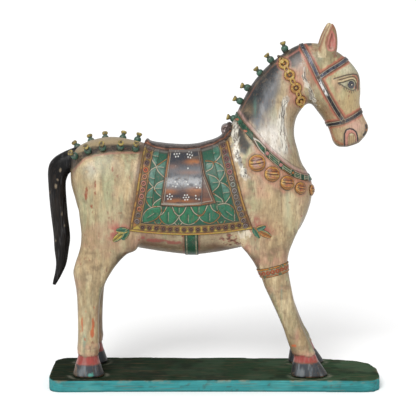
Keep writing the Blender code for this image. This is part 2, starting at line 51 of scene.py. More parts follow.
def grain(points, size, seed=0.0):
    p = np.asarray(points, float) / size + seed * 7.31
    base = np.floor(p).astype(int)
    t = p - base
    t = t * t * (3 - 2 * t)
    total = np.zeros(len(p))
    for corner in range(8):
        pick = [(corner >> axis) & 1 for axis in range(3)]
        weight = np.ones(len(p))
        for axis in range(3):
            weight = weight * (t[:, axis] if pick[axis] else 1 - t[:, axis])
        i, j, k = [(base[:, axis] + pick[axis]) % 32 for axis in range(3)]
        total += weight * lattice[i, j, k]
    return total


def mottle(points, size, seed=0.0):  # three sizes of grain together, about 0..1
    return (grain(points, size, seed) * 0.55 + grain(points, size * 0.47, seed + 1.7) * 0.3
        + grain(points, size * 0.21, seed + 3.1) * 0.15)


def ramp(low, high, value):  # soft step from 0 at low to 1 at high
    t = np.clip((value - low) / (high - low), 0, 1)
    return t * t * (3 - 2 * t)


def hump(value, width):  # 1 at zero, fading over the width to both sides
    return np.exp(-(value / width) ** 2)


def coat(colour, points):  # one even colour for all points
    return np.tile(np.array(colour, float), (len(points), 1))


def wash(colours, colour, amount):  # lays a thin colour over the ones already there
    amount = np.clip(amount, 0, 1)[:, None]
    colours[:] = colours * (1 - amount) + np.array(colour, float) * amount


def smoothRows(rows, steps):  # Catmull-Rom through rows of numbers
    rows = np.array(rows, float)
    padded = np.vstack([2 * rows[0] - rows[1], rows, 2 * rows[-1] - rows[-2]])
    made = []
    for a, b, c, d in zip(padded, padded[1:], padded[2:], padded[3:]):
        for t in np.arange(steps) / steps:
            made.append(0.5 * (2 * b + (c - a) * t + (2 * a - 5 * b + 4 * c - d) * t**2
                + (3 * b - a - 3 * c + d) * t**3))
    return np.array(made + [rows[-1]])


def evenly(points, spacing=None, count=None, closed=False):  # points at equal distances along a line
    points = np.array(points, float)
    if closed:
        points = np.vstack([points, points[:1]])
    steps = np.linalg.norm(np.diff(points, axis=0), axis=1)
    along = np.concatenate([[0], np.cumsum(steps)])
    count = count or max(4, int(round(along[-1] / spacing)) + 1)
    marks = np.linspace(0, along[-1], count)
    made = np.stack([np.interp(marks, along, points[:, k]) for k in range(points.shape[1])], axis=1)
    return made[:-1] if closed else made


def lineDistance(flat, line):  # distance to a side-view line, and how far along it the nearest spot is
    line = np.array(line, float)
    best = np.full(len(flat), 1e9)
    where = np.zeros(len(flat))
    side = np.zeros(len(flat))
    run = 0.0
    for a, b in zip(line, line[1:]):
        ab = b - a
        size = np.linalg.norm(ab)
        if size < 1e-9:
            continue
        t = np.clip(((flat - a) @ ab) / size**2, 0, 1)
        gap = flat - a - t[:, None] * ab
        d = np.linalg.norm(gap, axis=1)
        nearer = d < best
        best = np.where(nearer, d, best)
        where = np.where(nearer, run + t * size, where)
        side = np.where(nearer, np.sign(ab[0] * gap[:, 1] - ab[1] * gap[:, 0]), side)
        run += size
    return best, where, side


def gapTo(flat, line):  # distance to a side-view line
    return lineDistance(flat, line)[0]


def sideGap(flat, line):  # the same with its sign: positive on the left of the line's direction
    gap, _, way = lineDistance(flat, line)
    return gap * way


def insideOf(flat, outline):
    outline = np.array(outline, float)
    inside = np.zeros(len(flat), bool)
    x, z = flat[:, 0], flat[:, 1]
    for (x1, z1), (x2, z2) in zip(outline, np.roll(outline, -1, axis=0)):
        if z1 == z2:
            continue
        crossing = ((z1 > z) != (z2 > z)) & (x < (x2 - x1) * (z - z1) / (z2 - z1) + x1)
        inside ^= crossing
    return inside


def depthInside(flat, outline):  # positive inside the outline, negative outside, in metres
    closed = list(outline) + [outline[0]]
    d = gapTo(flat, closed)
    return np.where(insideOf(flat, outline), d, -d)


def patch(points, x, z, spreadX, spreadZ, power=2.0):  # a soft oval spot seen from the side
    d = (np.abs(points[:, 0] - x) / spreadX) ** power + (np.abs(points[:, 2] - z) / spreadZ) ** power
    return np.exp(-d)


def linked(name, mesh):
    made = bpy.data.objects.new(name, mesh)
    scene.collection.objects.link(made)
    return made


def fromBmesh(name, bm):
    bmesh.ops.recalc_face_normals(bm, faces=bm.faces)
    mesh = bpy.data.meshes.new(name)
    bm.to_mesh(mesh)
    bm.free()
    return linked(name, mesh)


def fromArrays(name, points, faces):
    mesh = bpy.data.meshes.new(name)
    mesh.from_pydata([tuple(p) for p in points], [], [tuple(int(i) for i in f) for f in faces])
    mesh.update()
    return linked(name, mesh)


def cleanFaces(made):  # splits the large faces and turns all of them outwards
    bm = bmesh.new()
    bm.from_mesh(made.data)
    bmesh.ops.triangulate(bm, faces=[face for face in bm.faces if len(face.verts) > 4])
    bmesh.ops.recalc_face_normals(bm, faces=bm.faces)
    bm.to_mesh(made.data)
    bm.free()


def pointsOf(mesh):
    flat = np.empty(len(mesh.vertices) * 3)
    mesh.vertices.foreach_get("co", flat)
    return flat.reshape(-1, 3)


def normalsOf(mesh):
    flat = np.empty(len(mesh.vertices) * 3)
    mesh.vertices.foreach_get("normal", flat)
    return flat.reshape(-1, 3)


def movePoints(mesh, points):
    mesh.vertices.foreach_set("co", np.ascontiguousarray(points).ravel())
    mesh.update()


def edgesOf(mesh):
    flat = np.empty(len(mesh.edges) * 2, int)
    mesh.edges.foreach_get("vertices", flat)
    return flat.reshape(-1, 2)


def neighbourMean(values, edges, degree):
    total = np.empty_like(values)
    for k in range(values.shape[1]):
        total[:, k] = (np.bincount(edges[:, 0], values[edges[:, 1], k], len(values))
            + np.bincount(edges[:, 1], values[edges[:, 0], k], len(values)))
    return total / degree


def baked(made):  # modifiers into the mesh
    graph = bpy.context.evaluated_depsgraph_get()
    mesh = bpy.data.meshes.new_from_object(made.evaluated_get(graph))
    made.modifiers.clear()
    made.data = mesh
    return made


def fused(made, voxel):
    fuse = made.modifiers.new("fuse", "REMESH")
    fuse.mode = "VOXEL"
    fuse.voxel_size = voxel
    return baked(made)


def smoothShade(made):
    made.data.polygons.foreach_set("use_smooth", np.ones(len(made.data.polygons), bool))
    made.data.update()


def storeColour(made, colours):
    mesh = made.data
    layer = mesh.color_attributes.new("paint", "FLOAT_COLOR", "POINT")
    full = np.ones((len(mesh.vertices), 4))
    full[:, :3] = np.clip(colours, 0, 1)
    layer.data.foreach_set("color", full.ravel())


def storeValue(made, name, values):
    layer = made.data.attributes.new(name, "FLOAT", "POINT")
    layer.data.foreach_set("value", np.asarray(values, float))


# the painted finishes: streaks, worn patches, hair cracks, flecks, and dirt mixed with some painted shade
# over the stored colours


def addNode(tree, kind, inputs=None, **settings):
    made = tree.nodes.new(kind)
    for key, value in settings.items():
        setattr(made, key, value)
    for key, value in (inputs or {}).items():
        if isinstance(value, bpy.types.NodeSocket):
            tree.links.new(value, made.inputs[key])
        else:
            made.inputs[key].default_value = value
    return made


def colourMix(tree, below, above, amount, way="MIX"):
    return addNode(tree, "ShaderNodeMix", {0: amount, 6: below, 7: above}, data_type="RGBA",
        blend_type=way).outputs[2]


def spread(tree, value, fromLow, fromHigh, toLow, toHigh):
    return addNode(tree, "ShaderNodeMapRange", {0: value, 1: fromLow, 2: fromHigh, 3: toLow,
        4: toHigh}).outputs[0]


def noise(tree, place, scale, detail, **more):
    return addNode(tree, "ShaderNodeTexNoise", {"Vector": place, "Scale": scale, "Detail": detail,
        **more}).outputs[0]


def calculated(tree, way, *values):
    return addNode(tree, "ShaderNodeMath", dict(enumerate(values)), operation=way).outputs[0]


depthOf = {}  # how far each finish darkens the stored colours


def paintFinish(name, look):
    depthOf[name] = look["depth"]
    material = bpy.data.materials.new(name)
    material.use_nodes = True
    tree = material.node_tree
    shader = tree.nodes["Principled BSDF"]
    place = addNode(tree, "ShaderNodeTexCoord").outputs["Object"]
    streaked = addNode(tree, "ShaderNodeMapping", {"Vector": place, "Scale": look["streakScale"]}).outputs[0]
    streaks = noise(tree, streaked, 1.0, 7.0, Roughness=0.62)
    blotch = noise(tree, place, look["blotchScale"], 5.0, Roughness=0.6, Distortion=0.6)
    speck = noise(tree, place, look["speckScale"], 3.0)
    cells = addNode(tree, "ShaderNodeTexVoronoi", {"Vector": place, "Scale": look["crackScale"]},
        feature="DISTANCE_TO_EDGE").outputs[0]
    painted = addNode(tree, "ShaderNodeAttribute", attribute_name="paint").outputs["Color"]
    # brush marks lighten and darken the paint
    shade = spread(tree, streaks, 0.3, 0.7, 1 - look["streakDepth"], 1 + look["streakDepth"])
    shadeColour = addNode(tree, "ShaderNodeCombineColor", {0: shade, 1: shade, 2: shade}).outputs[0]
    colour = colourMix(tree, painted, shadeColour, 1.0, "MULTIPLY")
    # worn patches let the layer below through
    wornArea = spread(tree, blotch, look["wornFrom"], look["wornFrom"] + 0.1, 0.0, look["wornAmount"])
    colour = colourMix(tree, colour, (*look["wornColour"], 1), wornArea)
    # hair cracks
    crackLine = spread(tree, cells, 0.0, look["crackWidth"], 1.0, 0.0)
    crackArea = spread(tree, blotch, 0.42, 0.6, 0.0, look["crackAmount"])
    cracked = calculated(tree, "MULTIPLY", crackLine, crackArea)
    colour = colourMix(tree, colour, (*look["crackColour"], 1), cracked)
    # specks of lost paint
    fleck = spread(tree, speck, look["fleckFrom"], look["fleckFrom"] + 0.03, 0.0, look["fleckAmount"])
    colour = colourMix(tree, colour, (*look["fleckColour"], 1), fleck)
    # fine scratches
    turned = addNode(tree, "ShaderNodeMapping", {"Vector": place, "Rotation": look["scratchTurn"],
        "Scale": look["scratchScale"]}).outputs[0]
    scratch = noise(tree, turned, 1.0, 3.0, Roughness=0.5)
    scratch = spread(tree, scratch, look["scratchFrom"], look["scratchFrom"] + 0.05, 0.0,
        look["scratchAmount"])
    colour = colourMix(tree, colour, (*look["scratchColour"], 1), scratch)
    # dirt left in the hollows, with painted shade on undersides and where parts touch
    grimeAndShade = addNode(tree, "ShaderNodeAttribute", attribute_name="grimeAndShade").outputs["Fac"]
    colour = colourMix(tree, colour, (*look["grimeAndShadeColour"], 1), grimeAndShade)
    tree.links.new(colour, shader.inputs["Base Color"])
    rough = spread(tree, streaks, 0.3, 0.7, look["roughness"] - 0.07, look["roughness"] + 0.07)
    rough = calculated(tree, "MULTIPLY_ADD", rough, grimeAndShade, rough)
    tree.links.new(rough, shader.inputs["Roughness"])
    height = calculated(tree, "MULTIPLY_ADD", streaks, 0.7, blotch)
    height = calculated(tree, "SUBTRACT", height, cracked)
    relief = addNode(tree, "ShaderNodeBump", {"Strength": look["bump"], "Distance": 0.0006,
        "Height": height}).outputs[0]
    tree.links.new(relief, shader.inputs["Normal"])
    shader.inputs["Specular IOR Level"].default_value = look["specular"]
    shader.inputs["Coat Weight"].default_value = look["coat"]
    shader.inputs["Coat Roughness"].default_value = look["coatRoughness"]
    return material


agedLook = dict(streakScale=(260, 260, 60), blotchScale=24.0, speckScale=420.0, crackScale=75.0,
    streakDepth=0.17, wornFrom=0.62, wornAmount=0.45, wornColour=(0.3, 0.2, 0.11), crackWidth=0.035,
    crackAmount=0.35, crackColour=(0.16, 0.1, 0.06), fleckFrom=0.7, fleckAmount=0.5,
    fleckColour=(0.22, 0.13, 0.07), scratchTurn=(0, 0.3, 0), scratchScale=(430, 430, 38), scratchFrom=0.6,
    scratchAmount=0.45, scratchColour=(0.14, 0.085, 0.05), grimeAndShadeColour=(0.045, 0.028, 0.018), roughness=0.42,
    bump=0.6, coat=0.14, coatRoughness=0.25, specular=0.36, depth=1.0)
finishLooks = {  # what each finish has of its own, over the aged look
    "agedCreamPaint": {},
    "clothPaint": dict(
        streakScale=(420, 420, 420), streakDepth=0.16, wornFrom=0.64, wornColour=(0.22, 0.15, 0.09),
        crackAmount=0.2, fleckFrom=0.72, fleckColour=(0.42, 0.33, 0.2), roughness=0.42, bump=0.4, coat=0.1,
        specular=0.25, depth=0.62),
    "saddlePaint": dict(
        streakScale=(60, 500, 500), streakDepth=0.3, wornFrom=0.6, wornColour=(0.16, 0.1, 0.075),
        wornAmount=0.4, crackAmount=0.15, fleckFrom=0.73, fleckColour=(0.3, 0.24, 0.2), roughness=0.33,
        bump=0.45, coat=0.12, specular=0.2, depth=0.52),
    "blackPaint": dict(
        streakScale=(420, 420, 40), streakDepth=0.35, wornFrom=0.72, wornColour=(0.06, 0.055, 0.05),
        crackAmount=0.0, fleckFrom=0.76, fleckAmount=0.8, fleckColour=(0.36, 0.28, 0.18), roughness=0.36,
        bump=0.5, coat=0.05, specular=0.1, depth=0.45,
        scratchAmount=0.12, scratchColour=(0.05, 0.042, 0.035)),
    "harnessPaint": dict(
        streakScale=(500, 500, 500), streakDepth=0.25, wornFrom=0.62, wornColour=(0.16, 0.12, 0.09),
        wornAmount=0.5, crackAmount=0.1, fleckFrom=0.7, fleckColour=(0.45, 0.4, 0.32), roughness=0.38,
        bump=0.35, coat=0.08, specular=0.24, depth=0.6),
    "goldPaint": dict(
        streakScale=(520, 520, 520), streakDepth=0.28, wornFrom=0.6, wornColour=(0.36, 0.11, 0.03),
        wornAmount=0.5, crackAmount=0.1, fleckFrom=0.7, fleckColour=(0.55, 0.42, 0.16), roughness=0.34,
        bump=0.4, coat=0.2, specular=0.35, depth=0.66),
    "knobPaint": dict(
        streakScale=(500, 500, 500), streakDepth=0.25, wornFrom=0.61, wornColour=(0.1, 0.075, 0.045),
        wornAmount=0.5, crackAmount=0.15, fleckFrom=0.71, fleckColour=(0.4, 0.3, 0.15), roughness=0.4,
        bump=0.4, coat=0.2, specular=0.35, depth=0.8),
    "plankPaint": dict(
        streakScale=(16, 330, 330), blotchScale=11.0, streakDepth=0.22, wornFrom=0.63,
        wornColour=(0.06, 0.045, 0.026), wornAmount=0.25, crackAmount=0.0, fleckFrom=0.76,
        fleckColour=(0.22, 0.15, 0.09), roughness=0.75, bump=0.6, coat=0.0, specular=0.02,
        scratchTurn=(0, 0, 0), scratchScale=(12, 420, 420)),
    "eyeGloss": dict(
        streakScale=(300, 300, 300), streakDepth=0.08, wornAmount=0.0, crackAmount=0.0, fleckAmount=0.0,
        roughness=0.16, bump=0.05, coat=1.0, coatRoughness=0.05),
}
finishes = {name: paintFinish(name, {**agedLook, **look}) for name, look in finishLooks.items()}


def dress(made, finish, colours, grimeAndShade=None):  # shading, colours, finish and a ride on the one body
    smoothShade(made)
    storeColour(made, colours * depthOf[finish])
    storeValue(made, "grimeAndShade", np.zeros(len(made.data.vertices)) if grimeAndShade is None else np.clip(grimeAndShade, 0, 1))
    made.data.materials.clear()
    made.data.materials.append(finishes[finish])
    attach(made, "root")
    return made


# the carved horse
# a section joins a point of the upper or rear outline to one of the lower or front outline;
# then come its half width and, on a leg, its distance from the middle
horseShape = {
    "voxel": 0.003,
    "fillRounds": 77,
    "stance": 0.064,
    "plankTop": 0.03,
    "toolMarks": 0.00022,
    "bodyTriangles": 172000,
    "headTriangles": 185000,
    "torso": [
        ((-0.3545, 0.556), (-0.3545, 0.5), 0.03), ((-0.35, 0.578), (-0.345, 0.468), 0.054),
        ((-0.336, 0.596), (-0.33, 0.422), 0.074), ((-0.3, 0.6125), (-0.3, 0.385), 0.086),
        ((-0.25, 0.6195), (-0.25, 0.36), 0.0895), ((-0.2, 0.611), (-0.2, 0.346), 0.09),
        ((-0.15, 0.6), (-0.15, 0.3365), 0.0915), ((-0.06, 0.594), (-0.06, 0.3262), 0.093),
        ((0.01, 0.61), (0.01, 0.333), 0.0915), ((0.06, 0.63), (0.07, 0.345), 0.088),
        ((0.12, 0.61), (0.13, 0.352), 0.084), ((0.175, 0.58), (0.175, 0.362), 0.076),
        ((0.216, 0.552), (0.207, 0.385), 0.062), ((0.236, 0.52), (0.226, 0.42), 0.044),
        ((0.2425, 0.502), (0.239, 0.458), 0.022)],
    "neckAndHead": [
        ((-0.01, 0.56), (0.175, 0.42), 0.06), ((0.024, 0.622), (0.226, 0.5), 0.074),
        ((0.0475, 0.664), (0.21, 0.573), 0.066), ((0.069, 0.709), (0.197, 0.622), 0.056),
        ((0.097, 0.757), (0.2, 0.662), 0.05), ((0.142, 0.805), (0.215, 0.69), 0.047),
        ((0.205, 0.8455), (0.232, 0.705), 0.047), ((0.262, 0.8465), (0.242, 0.698), 0.051),
        ((0.316, 0.818), (0.252, 0.6845), 0.053), ((0.3515, 0.779), (0.262, 0.672), 0.05),
        ((0.358, 0.738), (0.272, 0.657), 0.043), ((0.357, 0.702), (0.28, 0.643), 0.037),
        ((0.367, 0.672), (0.2865, 0.626), 0.0345), ((0.3795, 0.645), (0.293, 0.608), 0.034),
        ((0.374, 0.6255), (0.304, 0.5965), 0.029), ((0.358, 0.606), (0.324, 0.5945), 0.017)],
    "hindLeg": [
        ((-0.34, 0.52), (-0.2, 0.5), 0.034, 0.046), ((-0.332, 0.43), (-0.18, 0.4), 0.034, 0.052),
        ((-0.3275, 0.385), (-0.19, 0.35), 0.033, 0.057), ((-0.331, 0.35), (-0.216, 0.336), 0.032, 0.06),
        ((-0.342, 0.316), (-0.243, 0.308), 0.03, 0.062), ((-0.348, 0.292), (-0.26, 0.282), 0.0285, 0.064),
        ((-0.344, 0.266), (-0.272, 0.258), 0.027, 0.064), ((-0.34, 0.235), (-0.281, 0.23), 0.0255, 0.064),
        ((-0.3385, 0.18), (-0.2855, 0.18), 0.0245, 0.064), ((-0.339, 0.12), (-0.2865, 0.12), 0.025, 0.064),
        ((-0.341, 0.098), (-0.285, 0.1), 0.026, 0.064), ((-0.337, 0.082), (-0.291, 0.082), 0.0235, 0.064),
        ((-0.336, 0.072), (-0.29, 0.072), 0.0235, 0.064)],
    "foreLeg": [
        ((0.05, 0.48), (0.22, 0.49), 0.034, 0.04), ((0.055, 0.41), (0.215, 0.42), 0.034, 0.048),
        ((0.062, 0.362), (0.196, 0.372), 0.033, 0.054), ((0.08, 0.338), (0.184, 0.342), 0.0315, 0.058),
        ((0.098, 0.312), (0.18, 0.316), 0.0295, 0.061), ((0.114, 0.28), (0.183, 0.288), 0.0275, 0.064),
        ((0.1255, 0.25), (0.1885, 0.258), 0.026, 0.064), ((0.1465, 0.206), (0.1975, 0.214), 0.0245, 0.064),
        ((0.167, 0.158), (0.213, 0.168), 0.024, 0.064), ((0.1795, 0.122), (0.2295, 0.13), 0.0245, 0.064),
        ((0.19, 0.094), (0.244, 0.104), 0.026, 0.064), ((0.199, 0.082), (0.247, 0.086), 0.0235, 0.064),
        ((0.2, 0.072), (0.248, 0.072), 0.0235, 0.064)],
    # heel x, toe x, height, half width
    "hindHoof": [(-0.3372, -0.2895, 0.088, 0.0235), (-0.345, -0.284, 0.063, 0.0268),
        (-0.353, -0.2735, 0.0303, 0.03)],
    "foreHoof": [(0.2, 0.248, 0.092, 0.0235), (0.1945, 0.2595, 0.0665, 0.027),
        (0.1895, 0.284, 0.0303, 0.03)],
    # from x, to x, height, half width, distance from the middle
    "ear": [
        (0.254, 0.289, 0.806, 0.014, 0.03), (0.2515, 0.2965, 0.832, 0.0165, 0.031),
        (0.256, 0.298, 0.85, 0.015, 0.033), (0.262, 0.297, 0.868, 0.0125, 0.035),
        (0.269, 0.294, 0.883, 0.0095, 0.036), (0.2745, 0.2895, 0.893, 0.006, 0.037),
        (0.279, 0.2845, 0.8988, 0.0022, 0.0375)],
}

# lines and outlines of the face, seen from the side as (x, z)
faceLines = {
    "mouth": [(0.3195, 0.5985), (0.3178, 0.616), (0.3176, 0.63), (0.3216, 0.64), (0.3302, 0.6433),
        (0.3388, 0.6415), (0.3458, 0.6355), (0.3499, 0.6251), (0.3512, 0.612)],
    "tongue": [(0.3273, 0.599), (0.3262, 0.62), (0.3286, 0.6303), (0.3355, 0.6334), (0.3424, 0.6295),
        (0.3457, 0.62), (0.3445, 0.603)],
    "browUpper": [(0.288, 0.766), (0.3036, 0.7708), (0.319, 0.7747), (0.3357, 0.7768), (0.346, 0.7748),
        (0.3508, 0.767), (0.3512, 0.75), (0.35, 0.738)],
    "browLower": [(0.3011, 0.7635), (0.3165, 0.7676), (0.3293, 0.7708), (0.3397, 0.7704), (0.3452, 0.7644),
        (0.3475, 0.7534), (0.347, 0.7418)],
    "lidCream": [(0.3012, 0.7595), (0.3102, 0.7608), (0.3166, 0.7634), (0.3268, 0.7662), (0.3358, 0.7668),
        (0.3415, 0.7631), (0.3445, 0.7567)],
    "lidTop": [(0.2986, 0.756), (0.3045, 0.7574), (0.3102, 0.7576), (0.3205, 0.7605), (0.3282, 0.763),
        (0.3359, 0.7635), (0.3411, 0.76), (0.3438, 0.7521), (0.3444, 0.7431)],
    "lidLow": [(0.2986, 0.756), (0.309, 0.7506), (0.3194, 0.7442), (0.3272, 0.7399), (0.3363, 0.7373),
        (0.3444, 0.7405)],
    "veins": [0.33, 0.3352, 0.3402],  # x of each groove of the tongue
    "lipEdge": [(0.2846, 0.6424), (0.2883, 0.6269), (0.2962, 0.613), (0.3083, 0.6061), (0.3222, 0.602)],
    "nostrilUpper": [(0.3719, 0.65), (0.3735, 0.644), (0.3728, 0.64)],
    "nostrilLower": [(0.3718, 0.636), (0.3696, 0.6307), (0.3662, 0.6262)],
    "jaw": [(0.214, 0.81), (0.2166, 0.7872), (0.2183, 0.7608), (0.2244, 0.7432), (0.2365, 0.7197),
        (0.252, 0.706)],
    "earRim": [(0.2851, 0.8977), (0.2804, 0.8881), (0.2769, 0.8773), (0.2716, 0.8665), (0.2692, 0.8533),
        (0.269, 0.84)],
    "earPink": [(0.2825, 0.88), (0.2782, 0.8677), (0.2754, 0.8569), (0.273, 0.8449), (0.2755, 0.836),
        (0.2817, 0.834), (0.2878, 0.8355), (0.2905, 0.8449), (0.2905, 0.8593), (0.2878, 0.872)],
    "lashes": [((0.3038, 0.7534), (0.3034, 0.75)), ((0.3091, 0.7502), (0.3083, 0.746)),
        ((0.313, 0.748), (0.3118, 0.7428)), ((0.315, 0.7462), (0.3137, 0.7388)),
        ((0.3198, 0.7435), (0.3183, 0.736)), ((0.324, 0.7412), (0.323, 0.7345)),
        ((0.3285, 0.739), (0.3277, 0.7322)), ((0.3333, 0.7378), (0.3329, 0.7307)),
        ((0.338, 0.7375), (0.338, 0.7325)), ((0.342, 0.7385), (0.3424, 0.7345))],
}

# where the harness, the cloth and the damage lie, seen from the side
layout = {
    "clothLeft": [(-0.209, 0.3975), (-0.201, 0.438), (-0.1932, 0.4754), (-0.1858, 0.5237), (-0.179, 0.5701),
        (-0.172, 0.602)],
    "clothBottom": [(-0.209, 0.3975), (-0.1702, 0.3929), (-0.1212, 0.3896), (-0.0723, 0.388),
        (-0.0235, 0.3891), (0.0253, 0.3929), (0.0936, 0.4021)],
    "clothRight": [(0.0936, 0.4021), (0.0812, 0.4374), (0.0688, 0.475), (0.0565, 0.5238), (0.0445, 0.5711),
        (0.035, 0.612)],
    "clothTop": [(-0.172, 0.602), (-0.161, 0.6), (-0.1461, 0.5945), (-0.1215, 0.59), (-0.0726, 0.588),
        (-0.0358, 0.5915), (0.001, 0.603), (0.02, 0.613), (0.035, 0.612)],
    "seatEdge": [(-0.1735, 0.601), (-0.161, 0.597), (-0.1461, 0.5915), (-0.1215, 0.587), (-0.0726, 0.5855),
        (-0.0358, 0.589), (0.001, 0.6), (0.0279, 0.615), (0.0405, 0.627), (0.043, 0.637)],
    "collar": [(0.032, 0.704), (0.0365, 0.6975), (0.0575, 0.668), (0.069, 0.652), (0.089, 0.63),
        (0.109, 0.606), (0.1275, 0.5871), (0.1601, 0.5589), (0.1878, 0.5385), (0.2116, 0.5265),
        (0.2315, 0.5205), (0.26, 0.513)],
    "crown": [(0.206, 0.87), (0.213, 0.844), (0.2307, 0.8111), (0.251, 0.77)],
    "cheek": [(0.249, 0.774), (0.2698, 0.7343), (0.2928, 0.6948), (0.314, 0.663)],
    "brow": [(0.252, 0.769), (0.2789, 0.7874), (0.3039, 0.8012), (0.34, 0.822)],
    "nose": [(0.264, 0.647), (0.27, 0.649), (0.2853, 0.6538), (0.3015, 0.6572), (0.3184, 0.6623),
        (0.338, 0.6718), (0.38, 0.696)],
    "bells": [(0.1027, 0.5638, 0.0203), (0.1392, 0.537, 0.0183), (0.1761, 0.5143, 0.017),
        (0.209, 0.5, 0.0142)],
    "frontBells": [(0.03, 0.4905, 0.0135), (0.0, 0.487, 0.0135), (-0.03, 0.4905, 0.0135)],
    "chain": [(0.1683, 0.801), (0.1813, 0.775), (0.1973, 0.7436), (0.2094, 0.712)],
    "crest": [(0.032, 0.642), (0.0475, 0.664), (0.069, 0.709), (0.097, 0.757), (0.142, 0.805),
        (0.205, 0.8455), (0.235, 0.85)],
    "croupBand": [(-0.356, 0.545), (-0.3402, 0.552), (-0.3156, 0.5755), (-0.2912, 0.5838), (-0.2548, 0.5892),
        (-0.2186, 0.5905), (-0.172, 0.589), (-0.172, 0.602), (-0.2234, 0.6055), (-0.262, 0.6045),
        (-0.3009, 0.5985), (-0.33, 0.585), (-0.356, 0.575)],
    "croupLine": [(-0.344, 0.542), (-0.3402, 0.549), (-0.3156, 0.5725), (-0.2912, 0.5806), (-0.2548, 0.586),
        (-0.2186, 0.5873), (-0.178, 0.5858)],
    "manePatch": [(0.16, 0.812), (0.1317, 0.796), (0.1, 0.765), (0.08, 0.7305), (0.068, 0.7), (0.06, 0.678),
        (0.082, 0.657), (0.104, 0.676), (0.118, 0.7107), (0.129, 0.7345), (0.148, 0.7582), (0.16, 0.785)],
    "greyPatch": [(0.16, 0.808), (0.1042, 0.768), (0.0649, 0.6788), (0.1009, 0.6429), (0.1246, 0.6629),
        (0.1442, 0.6987), (0.1598, 0.7424), (0.1674, 0.778)],
    "pollPatch": [(0.1771, 0.801), (0.177, 0.83), (0.1946, 0.84), (0.209, 0.838), (0.2104, 0.8311),
        (0.2146, 0.8095), (0.1989, 0.79)],
    "neckCrack": [(0.17, 0.716), (0.164, 0.6955), (0.164, 0.6667), (0.166, 0.6309), (0.1676, 0.608),
        (0.169, 0.59)],
    "shoulderCrack": [(0.054, 0.662), (0.052, 0.6453), (0.0505, 0.6173), (0.055, 0.5827), (0.064, 0.553),
        (0.077, 0.532)],
    "shoulderPatch": [(0.06, 0.645), (0.07, 0.633), (0.0859, 0.6076), (0.075, 0.5869), (0.064, 0.592),
        (0.0585, 0.6223)],
}


clothEdge = layout["clothLeft"] + layout["clothBottom"][1:] + layout["clothRight"][1:]


def flatOf(points):
    return points[:, [0, 2]]


def sectionRing(upper, lower, halfWidth, middleY, points=56, roundness=2.2):
    upper, lower = np.array(upper), np.array(lower)
    middle, reach = (upper + lower) / 2, (upper - lower) / 2
    ring = []
    for i in range(points):
        turn = 2 * math.pi * i / points
        up, across = (math.copysign(abs(f(turn)) ** (2 / roundness), f(turn)) for f in (math.cos, math.sin))
        x, z = middle + reach * up
        ring.append((x, middleY + halfWidth * across, z))
    return ring


def addRings(bm, rings):
    made = [[bm.verts.new(p) for p in ring] for ring in rings]
    count = len(made[0])
    for lower, upper in zip(made, made[1:]):
        for i in range(count):
            j = (i + 1) % count
            bm.faces.new((lower[i], lower[j], upper[j], upper[i]))
    bm.faces.new(made[0])
    bm.faces.new(made[-1])


def loft(bm, sections, side=0, steps=7, roundness=2.2):
    flat = [(*s[0], *s[1], s[2], side * s[3] if side else 0.0) for s in sections]
    addRings(bm, [sectionRing(r[:2], r[2:4], r[4], r[5], roundness=roundness)
        for r in smoothRows(flat, steps)])


# rounds the creases between joined forms, as the carver's knife would
def fillHollows(mesh, rounds, lift=0.6, slide=0.3):
    points = pointsOf(mesh)
    edges = edgesOf(mesh)
    degree = np.bincount(edges.ravel(), minlength=len(points))[:, None]
    for turn in range(rounds):
        pull = neighbourMean(points, edges, degree) - points
        outward = normalsOf(mesh)
        rise = np.einsum("ij,ij->i", pull, outward)
        across = pull - outward * rise[:, None]
        points += outward * np.maximum(rise, 0)[:, None] * lift + across * slide
        movePoints(mesh, points)


def relax(mesh, rounds, amount=0.5):
    points = pointsOf(mesh)
    edges = edgesOf(mesh)
    degree = np.bincount(edges.ravel(), minlength=len(points))[:, None]
    for turn in range(rounds):
        points += (neighbourMean(points, edges, degree) - points) * amount
    movePoints(mesh, points)


def carveForm():
    shape = horseShape
    bm = bmesh.new()
    loft(bm, shape["torso"])
    loft(bm, shape["neckAndHead"])
    for side in (-1, 1):
        loft(bm, shape["hindLeg"], side)
        loft(bm, shape["foreLeg"], side)
        for rows in (shape["hindHoof"], shape["foreHoof"]):
            addRings(bm, [sectionRing((heel, z), (toe, z), half, side * shape["stance"]) for heel, toe, z,
                half in rows])
    form = fused(fromBmesh("form", bm), shape["voxel"])
    fillHollows(form.data, shape["fillRounds"])
    bm = bmesh.new()
    bm.from_mesh(form.data)
    for side in (-1, 1):
        rings = smoothRows([(a, b, z, half, side * y) for a, b, z, half, y in shape["ear"]], 6)
        addRings(bm, [sectionRing((a, z), (b, z), half, y, 40, 2.0) for a, b, z, half, y in rings])
    bmesh.ops.recalc_face_normals(bm, faces=bm.faces)
    bm.to_mesh(form.data)
    bm.free()
    fused(form, shape["voxel"])
    form.name = "horse_form"
    fillHollows(form.data, 5)
    relax(form.data, 2, 0.35)
    return form


def splitAtCollar(form):  # neck and head become their own piece; the seam lies under the collar
    bm = bmesh.new()
    bm.from_mesh(form.data)
    middles = np.array([face.calc_center_median() for face in bm.faces])
    isHead = (sideGap(flatOf(middles), layout["collar"]) > 0) & (middles[:, 0] > 0.02)
    bm.free()
    pieces = []
    for name, drop in (("horse_body", isHead), ("horse_head", ~isHead)):
        bm = bmesh.new()
        bm.from_mesh(form.data)
        bm.faces.ensure_lookup_table()
        bmesh.ops.delete(bm, geom=[bm.faces[int(i)] for i in np.nonzero(drop)[0]], context="FACES")
        if name == "horse_head":
            refineHead(bm)
        rim = [edge for edge in bm.edges if len(edge.link_faces) == 1]
        bmesh.ops.holes_fill(bm, edges=rim, sides=0)
        bmesh.ops.triangulate(bm, faces=[face for face in bm.faces if len(face.verts) > 4])
        pieces.append(fromBmesh(name, bm))
    bpy.data.objects.remove(form)
    pieces[0].name = "horse_body"
    return pieces


